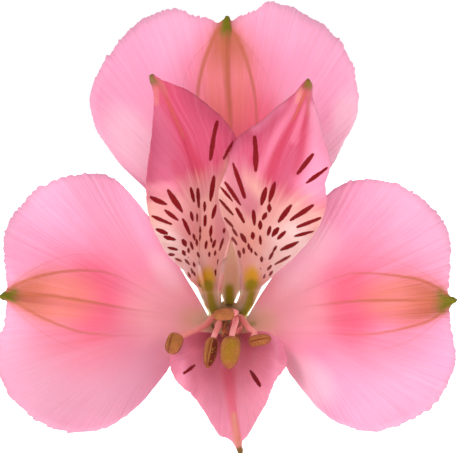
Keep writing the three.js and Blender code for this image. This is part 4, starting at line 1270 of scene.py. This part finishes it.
class Tree:
    """A Geometry Nodes tree with named inputs, built by short calls."""

    def __init__(self, name, inputs):
        self.tree = bpy.data.node_groups.new(name, "GeometryNodeTree")
        self.tree.is_modifier = True
        face = self.tree.interface
        face.new_socket("Geometry", in_out="INPUT", socket_type="NodeSocketGeometry")
        for label, kind in inputs.items():
            face.new_socket(label, in_out="INPUT", socket_type=f"NodeSocket{kind}")
        face.new_socket("Geometry", in_out="OUTPUT", socket_type="NodeSocketGeometry")
        self.inputs = self.tree.nodes.new("NodeGroupInput").outputs
        self.output = self.tree.nodes.new("NodeGroupOutput").inputs["Geometry"]

    def add(self, kind, values=None, **settings):
        """Adds one node; values are linked or set by input name."""
        node = self.tree.nodes.new(kind)
        for key, value in settings.items():
            setattr(node, key, value)
        for key, value in (values or {}).items():
            self.put(next(x for x in node.inputs if x.name == key and x.enabled), value)
        return next(x for x in node.outputs if x.enabled)

    def put(self, socket, value):
        if isinstance(value, bpy.types.NodeSocket):
            self.tree.links.new(value, socket)
        else:
            socket.default_value = value

    def math(self, operation, first, second):
        node = self.tree.nodes.new("ShaderNodeMath")
        node.operation = operation
        for socket, value in zip(node.inputs, (first, second)):
            self.put(socket, value)
        return node.outputs["Value"]

    def end(self, geometry):
        """Smooth shading, real copies and the material, then the way out."""
        geometry = self.add("GeometryNodeSetShadeSmooth", {"Geometry": geometry})
        geometry = self.add("GeometryNodeRealizeInstances", {"Geometry": geometry})
        geometry = self.add("GeometryNodeSetMaterial",
                            {"Geometry": geometry, "Material": self.inputs["Material"]})
        self.tree.links.new(geometry, self.output)
        return self.tree


def stalk_tree():
    """A round, tapering stalk along a line of edges."""
    tree = Tree("Stalk", {"Radius": "Float", "Taper": "Float", "Wobble": "Float", "Sides": "Int",
                          "Material": "Material"})
    path = tree.add("GeometryNodeMeshToCurve", {"Mesh": tree.inputs["Geometry"]})
    along = tree.add("GeometryNodeSplineParameter")
    path = tree.add("GeometryNodeStoreNamedAttribute",
                    {"Geometry": path, "Name": "along", "Value": along})
    ring = tree.add("GeometryNodeCurvePrimitiveCircle",
                    {"Resolution": tree.inputs["Sides"], "Radius": tree.inputs["Radius"]})
    lost = tree.math("MULTIPLY", along, tree.inputs["Taper"])
    swell = tree.add("ShaderNodeTexNoise", {"W": along, "Scale": 9.0, "Detail": 1.0},
                     noise_dimensions="1D")
    swell = tree.math("MULTIPLY", tree.math("SUBTRACT", swell, 0.5), tree.inputs["Wobble"])
    share = tree.math("ADD", tree.math("SUBTRACT", 1.0, lost), swell)
    tube = tree.add("GeometryNodeCurveToMesh", {"Curve": path, "Profile Curve": ring,
                                                "Scale": share, "Fill Caps": True})
    return tree.end(tube)


def pollen_tree():
    """Loose grains, lying where the host's dust attribute is high."""
    tree = Tree("Pollen", {"Density": "Float", "Grain size": "Float", "Seed": "Int",
                           "Material": "Material"})
    dust = tree.add("GeometryNodeInputNamedAttribute", {"Name": "dust"}, data_type="FLOAT")
    density = tree.math("MULTIPLY", dust, tree.inputs["Density"])
    grains = tree.add("GeometryNodeDistributePointsOnFaces",
                      {"Mesh": tree.inputs["Geometry"], "Density": density,
                       "Seed": tree.inputs["Seed"]})
    grain = tree.add("GeometryNodeMeshIcoSphere",
                     {"Radius": tree.inputs["Grain size"], "Subdivisions": 2})
    size = tree.add("FunctionNodeRandomValue",
                    {"Min": 0.6, "Max": 1.1, "Seed": tree.inputs["Seed"]}, data_type="FLOAT")
    heap = tree.add("GeometryNodeInstanceOnPoints",
                    {"Points": grains, "Instance": grain, "Scale": size})
    return tree.end(heap)


def grown(name, host, tree, values):
    """Runs a tree on a host mesh and returns its result as a plain mesh piece."""
    modifier = host.modifiers.new(tree.name, "NODES")
    modifier.node_group = tree
    for socket in tree.interface.items_tree:
        if socket.item_type == "SOCKET" and socket.in_out == "INPUT" and socket.name in values:
            modifier[socket.identifier] = values[socket.name]
    host.update_tag()
    graph = bpy.context.evaluated_depsgraph_get()
    mesh = bpy.data.meshes.new_from_object(host.evaluated_get(graph), depsgraph=graph)
    if not mesh.polygons:
        raise RuntimeError(f"{name}: the node tree made no faces")
    host.modifiers.remove(modifier)
    mesh.name = name
    shape = bmesh.new()
    shape.from_mesh(mesh)
    bmesh.ops.recalc_face_normals(shape, faces=shape.faces)
    shape.to_mesh(mesh)
    shape.free()
    return added(name, mesh)


def path_host(points):
    """Line of edges through face-frame points, for a stalk to follow."""
    mesh = bpy.data.meshes.new("path")
    points = place(points)
    mesh.from_pydata(points, [(i, i + 1) for i in range(len(points) - 1)], [])
    return added("path", mesh)


# ---- Stamens, style, ovary and pedicel ---------------------------------------------------------

def centripetal(points, steps):
    """Curve through the points that doesn't overshoot where they lie close together."""
    points = np.asarray(points, float)
    padded = np.vstack([2 * points[0] - points[1], points, 2 * points[-1] - points[-2]])
    knots = np.concatenate([[0], np.cumsum(
        np.linalg.norm(np.diff(padded, axis=0), axis=-1) ** 0.5)])

    def blend(first, second, low, high, x):
        return ((high - x) * first + (x - low) * second) / (high - low)

    curve = []
    for k in range(1, len(padded) - 2):
        a, b, c, d = knots[k - 1:k + 3]
        for x in np.linspace(b, c, steps, endpoint=False):
            one = blend(padded[k - 1], padded[k], a, b, x)
            two = blend(padded[k], padded[k + 1], b, c, x)
            three = blend(padded[k + 1], padded[k + 2], c, d, x)
            curve.append(blend(blend(one, two, a, c, x), blend(two, three, b, d, x), b, c, x))
    return np.array([*curve, points[-1]])


def filament_path(stamen):
    """Line of a filament from the stamen ring to a little way into its anther."""
    angle = math.radians(stamen["root"])
    root = (STAMEN_RING_RADIUS * math.cos(angle), STAMEN_RING_RADIUS * math.sin(angle), FOOT_GAP)
    foot, tip = np.array(stamen["foot"], float), np.array(stamen["tip"], float)
    return centripetal([root, *stamen["path"], foot + 0.12 * (tip - foot)], 16)


def build_anther(number, stamen, settings):
    """Anther with its slits, lips and, where it has opened, a sunken pod."""
    steps, sides = 60, 80
    foot, tip = np.array(stamen["foot"], float), np.array(stamen["tip"], float)
    f = 0.5 - 0.5 * np.cos(np.linspace(0.05, math.pi - 0.05, steps + 1))[:, None]
    a = around(sides)
    half = stamen["width"] / 2
    off_middle = 2 * f ** 0.9 - 1
    belly = np.where(off_middle < 0, (1 - np.abs(off_middle) ** 3) ** 0.5,
                     (1 - np.abs(off_middle) ** stamen["point"]) ** 0.6)
    bulge = np.sin(math.pi * f)
    radii = half * belly * (np.hypot(settings.anther_flatness * np.cos(a), np.sin(a))
                            - 0.1 * np.abs(np.sin(a)) ** 8 * bulge)

    def turned(degrees, width):
        """1 at an angle round the anther, fading over width degrees."""
        away = (np.degrees(a) - degrees + 180) % 360 - 180
        return np.exp(-(away / width) ** 2)

    slit = np.zeros_like(radii)
    lips = np.zeros_like(radii)
    for k, (degrees, depth) in enumerate(stamen["slits"]):
        bend = 5 * wander(f * 3 + 7 * k, number)
        line = turned(degrees + bend, 6) * bulge ** 0.5
        slit = np.maximum(slit, line)
        lips += half * 0.09 * turned(degrees + bend, 22) * bulge
        radii = radii - half * depth * turned(degrees + bend, 9) * bulge ** 0.5
    radii = radii + lips
    uneven = (wander(f * 9 + 60, number) * 0.5
              + wander(a * 3.8 + 90, number + 7) * turned(180, 150))
    radii = radii * (1 + 0.025 * uneven * bulge)

    pod = np.zeros_like(radii)
    if stamen["pod"]:
        middle, spread = stamen["pod"]
        pod = smooth(np.abs((np.degrees(a) - middle + 180) % 360 - 180), spread * 1.25,
                     spread * 0.85) * smooth(bulge, 0.12, 0.3)
        radii = radii - 0.16 * half * pod
    face = stamen["face"] * turned(0, 58) * smooth(bulge, 0.2, 0.7) * np.ones_like(radii)
    low = turned(40, 60) * smooth(f, 0.72, 0.95)
    edge = stamen["edge"] * np.maximum(smooth(np.abs(np.sin(a)), 0.84, 1) + 0 * radii, low)
    dust = np.clip(0.12 + pod + 0.4 * slit + 0.25 * face, 0, 1)

    centres = foot + f * (tip - foot)
    return tube_piece(f"anther_{number}_finished", swept(centres, radii, (0, 0, 1)),
                      {"slit": slit, "pod": pod, "face": face, "edge": edge, "dust": dust})


def build_stigma(settings):
    """The style's last stretch, widening into three blunt lobes."""
    steps, sides = 60, 60
    centres = centripetal(STYLE_PATH, steps)[-steps - 1:]
    f = fractions(steps)
    a = around(sides)
    lobes = settings.stigma_radius / MM * (0.7 + 0.3 * np.cos(3 * a))
    widen = smooth(f, 0.72, 1)
    radii = settings.style_radius / MM * (1 - widen) + lobes * widen
    radii = radii * (1 - 0.35 * smooth(f, 0.95, 1))
    return tube_piece("stigma", swept(centres, radii), {"along": np.ones_like(radii)})


def capped(centres, radii, skin, dish):
    """Tube points whose far end is a dished cut, with a core value for each of them. The cut's
    core begins at the share skin of the radius."""
    tangent = unit(centres[-1] - centres[-2])
    shares = np.array([0.97, 0.9, 0.8, 0.65, 0.45, 0.2])
    depth = dish * (1 - shares ** 2)
    body = swept(centres, radii)[:-2].reshape(len(centres), -1, 3)
    middle = centres[-1]
    cut = [middle + share * (body[-1] - middle) - step * tangent
           for share, step in zip(shares, depth)]
    core = np.zeros(radii.shape)
    cut_core = np.ones((len(shares), radii.shape[1])) * smooth(shares, 1.0, skin)[:, None]
    rings = np.concatenate([body, np.array(cut)])
    points = np.vstack([rings.reshape(-1, 3), centres[:1], [middle - dish * tangent]])
    return points, np.vstack([core, cut_core])


def build_ovary(settings):
    """Ribbed ovary between the pedicel and the tepals."""
    steps, sides = 80, 144
    f = fractions(steps)
    a = around(sides)
    centres = np.stack([0 * f[:, 0], 0 * f[:, 0], -OVARY_LENGTH * f[:, 0]], -1)
    belly = PEDICEL_RADIUS + (OVARY_RADIUS - PEDICEL_RADIUS) * np.cos(math.pi / 2 * f ** 1.6)
    relief = settings.rib_relief * np.sin(math.pi * (0.2 + 0.8 * f))
    ribs = np.cos(OVARY_RIBS * a)
    seams = np.exp(-((a * OVARY_RIBS / math.pi + 1) % 2 - 1) ** 2 / 0.006)
    radii = belly * (1 - relief * ribs - 0.35 * relief * seams
                     + 0.004 * wander(a * 17 + 5, 21) + 0.006 * wander(f * 8, 22))
    groove = smooth(ribs, 0.2, 1) * np.ones_like(radii)
    core = smooth(f, 0.03, 0) * np.ones_like(radii)
    return tube_piece("ovary_finished", swept(centres, radii), {"groove": groove, "core": core})


def build_pedicel(settings):
    """Finely ridged stalk with a clean cut at its foot."""
    steps, sides = 160, 96
    end = -OVARY_LENGTH - SEAT_GAP - PEDICEL_LENGTH
    drop = ((FACE_ORIGIN[2] + end * math.sin(FACE_TILT)) / math.cos(FACE_TILT) - PEDICEL_RADIUS)
    start = -OVARY_LENGTH
    p0, p1, p2, p3 = (np.array(point, float) for point in (
        (0, 0, start), (0, 0, start - SEAT_GAP - PEDICEL_LENGTH / 3),
        (PEDICEL_SWAY, -drop, end + PEDICEL_LENGTH / 3), (0, -drop, end)))
    f = fractions(steps)
    q = 1 - f
    centres = q ** 3 * p0 + 3 * f * q * q * p1 + 3 * f * f * q * p2 + f ** 3 * p3
    a = around(sides)
    ridges = np.cos(settings.ridges * a + 1.2 * np.sin(2 * math.pi * f))
    height = settings.ridge_height / PEDICEL_RADIUS / MM
    radii = PEDICEL_RADIUS * (1 - height * (0.5 - 0.5 * ridges)
                              - 0.012 * (1 - wander(f * 14, 23)) + 0 * a)
    points, core = capped(centres, radii, 0.85, 0.25)
    groove = smooth(ridges, 0.2, -1) * np.ones_like(radii)
    groove = np.vstack([groove, np.zeros((len(core) - len(groove), sides))])
    return tube_piece("pedicel_finished", points, {"groove": groove, "core": core})


# ---- Operators ---------------------------------------------------------------------------------

class BLOOM_OT_tepals(bpy.types.Operator):
    """Add the six tepals with their markings"""

    bl_idname = "bloom.tepals"
    bl_label = "Add Tepals"

    def execute(self, context):
        colours, settings = context.scene.bloom_colours, context.scene.bloom_tepals
        finishes = {
            "outer": outer_tepal_material(colours),
            "upper": inner_tepal_material(colours, "upper_inner_tepal", True),
            "lower": inner_tepal_material(colours, "lower_inner_tepal", False),
        }
        for node, tepal in TEPALS.items():
            finish_piece(build_blade(node, tepal, settings), finishes[kind_of(tepal)],
                         [node])
        return {"FINISHED"}


class BLOOM_OT_stamens(bpy.types.Operator):
    """Add the six filaments and their anthers"""

    bl_idname = "bloom.stamens"
    bl_label = "Add Stamens"

    def execute(self, context):
        colours, settings = context.scene.bloom_colours, context.scene.bloom_stamens
        skin = stalk_material("filament", colours.filament, colours.style, colours.throat)
        brown = anther_material(colours)
        tree = stalk_tree()
        for number, stamen in enumerate(STAMENS, 1):
            host = path_host(filament_path(stamen))
            stalk = grown(f"filament_{number}_finished", host, tree, {
                "Radius": settings.filament_radius, "Taper": settings.filament_taper,
                "Wobble": 0.12, "Sides": 28, "Material": skin,
            })
            bpy.data.objects.remove(host)
            finish_piece(stalk, skin, [f"filament_{number}"])
            finish_piece(build_anther(number, stamen, settings), brown,
                         [f"anther_{number}"])
        return {"FINISHED"}


class BLOOM_OT_pollen(bpy.types.Operator):
    """Scatter pollen over the anthers"""

    bl_idname = "bloom.pollen"
    bl_label = "Add Pollen"

    def execute(self, context):
        colours, settings = context.scene.bloom_colours, context.scene.bloom_stamens
        grain = pollen_material(colours)
        tree = pollen_tree()
        for number in range(1, len(STAMENS) + 1):
            host = bpy.data.objects[f"anther_{number}_finished"]
            dust = grown(f"pollen_{number}", host, tree, {
                "Density": settings.grain_density / MM ** 2, "Grain size": settings.grain_size,
                "Seed": settings.seed + number, "Material": grain,
            })
            finish_piece(dust, grain)
        return {"FINISHED"}


class BLOOM_OT_style(bpy.types.Operator):
    """Add the style and its stigma"""

    bl_idname = "bloom.style"
    bl_label = "Add Style"

    def execute(self, context):
        colours, settings = context.scene.bloom_colours, context.scene.bloom_stamens
        skin = stalk_material("style", colours.style, colours.anther, colours.throat)
        host = path_host(centripetal([(0, 0, FOOT_GAP), *STYLE_PATH[1:]], 24))
        style = grown("style_finished", host, stalk_tree(), {
            "Radius": settings.style_radius, "Taper": 0.05, "Wobble": 0.1, "Sides": 24,
            "Material": skin,
        })
        bpy.data.objects.remove(host)
        finish_piece(style, skin, ["style"])
        finish_piece(build_stigma(settings), skin)
        return {"FINISHED"}


class BLOOM_OT_ovary(bpy.types.Operator):
    """Add the ribbed ovary"""

    bl_idname = "bloom.ovary"
    bl_label = "Add Ovary"

    def execute(self, context):
        colours = context.scene.bloom_colours
        skin = green_material("ovary", colours.ovary, colours.ovary_groove, colours.ovary_top)
        finish_piece(build_ovary(context.scene.bloom_stalk), skin, ["ovary"])
        return {"FINISHED"}


class BLOOM_OT_pedicel(bpy.types.Operator):
    """Add the pedicel down to its cut foot"""

    bl_idname = "bloom.pedicel"
    bl_label = "Add Pedicel"

    def execute(self, context):
        colours = context.scene.bloom_colours
        skin = green_material("pedicel", colours.pedicel, colours.ovary_groove, colours.core)
        finish_piece(build_pedicel(context.scene.bloom_stalk), skin, ["pedicel"])
        return {"FINISHED"}


class BLOOM_OT_stage(bpy.types.Operator):
    """Add the floor, the soft light and the camera"""

    bl_idname = "bloom.stage"
    bl_label = "Add Stage"

    def execute(self, context):
        scene = context.scene
        stage = scene.bloom_stage
        scene.view_settings.view_transform = "Standard"
        world = scene.world or bpy.data.worlds.new("studio")
        scene.world = world
        world.use_nodes = True
        sky = world.node_tree.nodes["Background"]
        sky.inputs["Color"].default_value = (1, 1, 1, 1)
        sky.inputs["Strength"].default_value = stage.sky

        shape = bmesh.new()
        for radius in FLOOR_RINGS:
            bmesh.ops.create_circle(shape, segments=96, radius=radius,
                                    cap_ends=radius == FLOOR_RINGS[0])
        bmesh.ops.bridge_loops(shape, edges=[e for e in shape.edges if len(e.link_faces) < 2])
        mesh = bpy.data.meshes.new("floor")
        shape.to_mesh(mesh)
        shape.free()
        floor = added("floor", mesh)
        mesh.materials.append(floor_material(stage.floor_glow))

        towards = place([(0, 0, 1)])[0] - place([(0, 0, 0)])[0]
        towards = Vector(towards).normalized()
        target = Vector(place([(stage.frame_u / MM, stage.frame_v / MM, AIM_DEPTH)])[0])
        lamp = bpy.data.lights.new("key", "AREA")
        lamp.shape = "DISK"
        lamp.size = LAMP_SIZE
        lamp.energy = stage.key
        light = added("key", lamp)
        light.location = place([LAMP_PLACE])[0]
        light.rotation_euler = (light.location - target).to_track_quat("Z", "Y").to_euler()

        lens = bpy.data.cameras.new("camera")
        lens.sensor_width = SENSOR_WIDTH
        lens.lens = lens.sensor_width * stage.distance / stage.frame_width
        lens.clip_start = 0.1
        lens.clip_end = 20
        camera = added("camera", lens)
        camera.location = target + towards * stage.distance
        camera.rotation_euler = towards.to_track_quat("Z", "Y").to_euler()
        scene.camera = camera
        return {"FINISHED"}


class BLOOM_PT_panel(bpy.types.Panel):
    """Buttons and sizes of the bloom"""

    bl_idname = "BLOOM_PT_panel"
    bl_label = "Alstroemeria Bloom"
    bl_space_type = "VIEW_3D"
    bl_region_type = "UI"
    bl_category = "Bloom"

    def draw(self, context):
        for step in STEPS:
            self.layout.operator(step.bl_idname)
        for name in SETTINGS:
            box = self.layout.box()
            group = getattr(context.scene, name)
            for key in group.bl_rna.properties.keys():
                if key not in {"rna_type", "name"}:
                    box.prop(group, key)


STEPS = (BLOOM_OT_tepals, BLOOM_OT_stamens, BLOOM_OT_pollen, BLOOM_OT_style, BLOOM_OT_ovary,
         BLOOM_OT_pedicel, BLOOM_OT_stage)
SETTINGS = {
    "bloom_tepals": BloomTepalSettings, "bloom_stamens": BloomStamenSettings,
    "bloom_stalk": BloomStalkSettings, "bloom_colours": BloomColourSettings,
    "bloom_stage": BloomStageSettings,
}


def register():
    for each in (*SETTINGS.values(), *STEPS, BLOOM_PT_panel):
        bpy.utils.register_class(each)
    for name, group in SETTINGS.items():
        setattr(bpy.types.Scene, name, PointerProperty(type=group))


def unregister():
    for name in SETTINGS:
        delattr(bpy.types.Scene, name)
    for each in (BLOOM_PT_panel, *reversed(STEPS), *reversed(SETTINGS.values())):
        bpy.utils.unregister_class(each)


def main():
    register()
    bpy.ops.bloom.tepals()
    bpy.ops.bloom.stamens()
    bpy.ops.bloom.pollen()
    bpy.ops.bloom.style()
    bpy.ops.bloom.ovary()
    bpy.ops.bloom.pedicel()
    bpy.ops.bloom.stage()


if __name__ == "__main__":
    main()
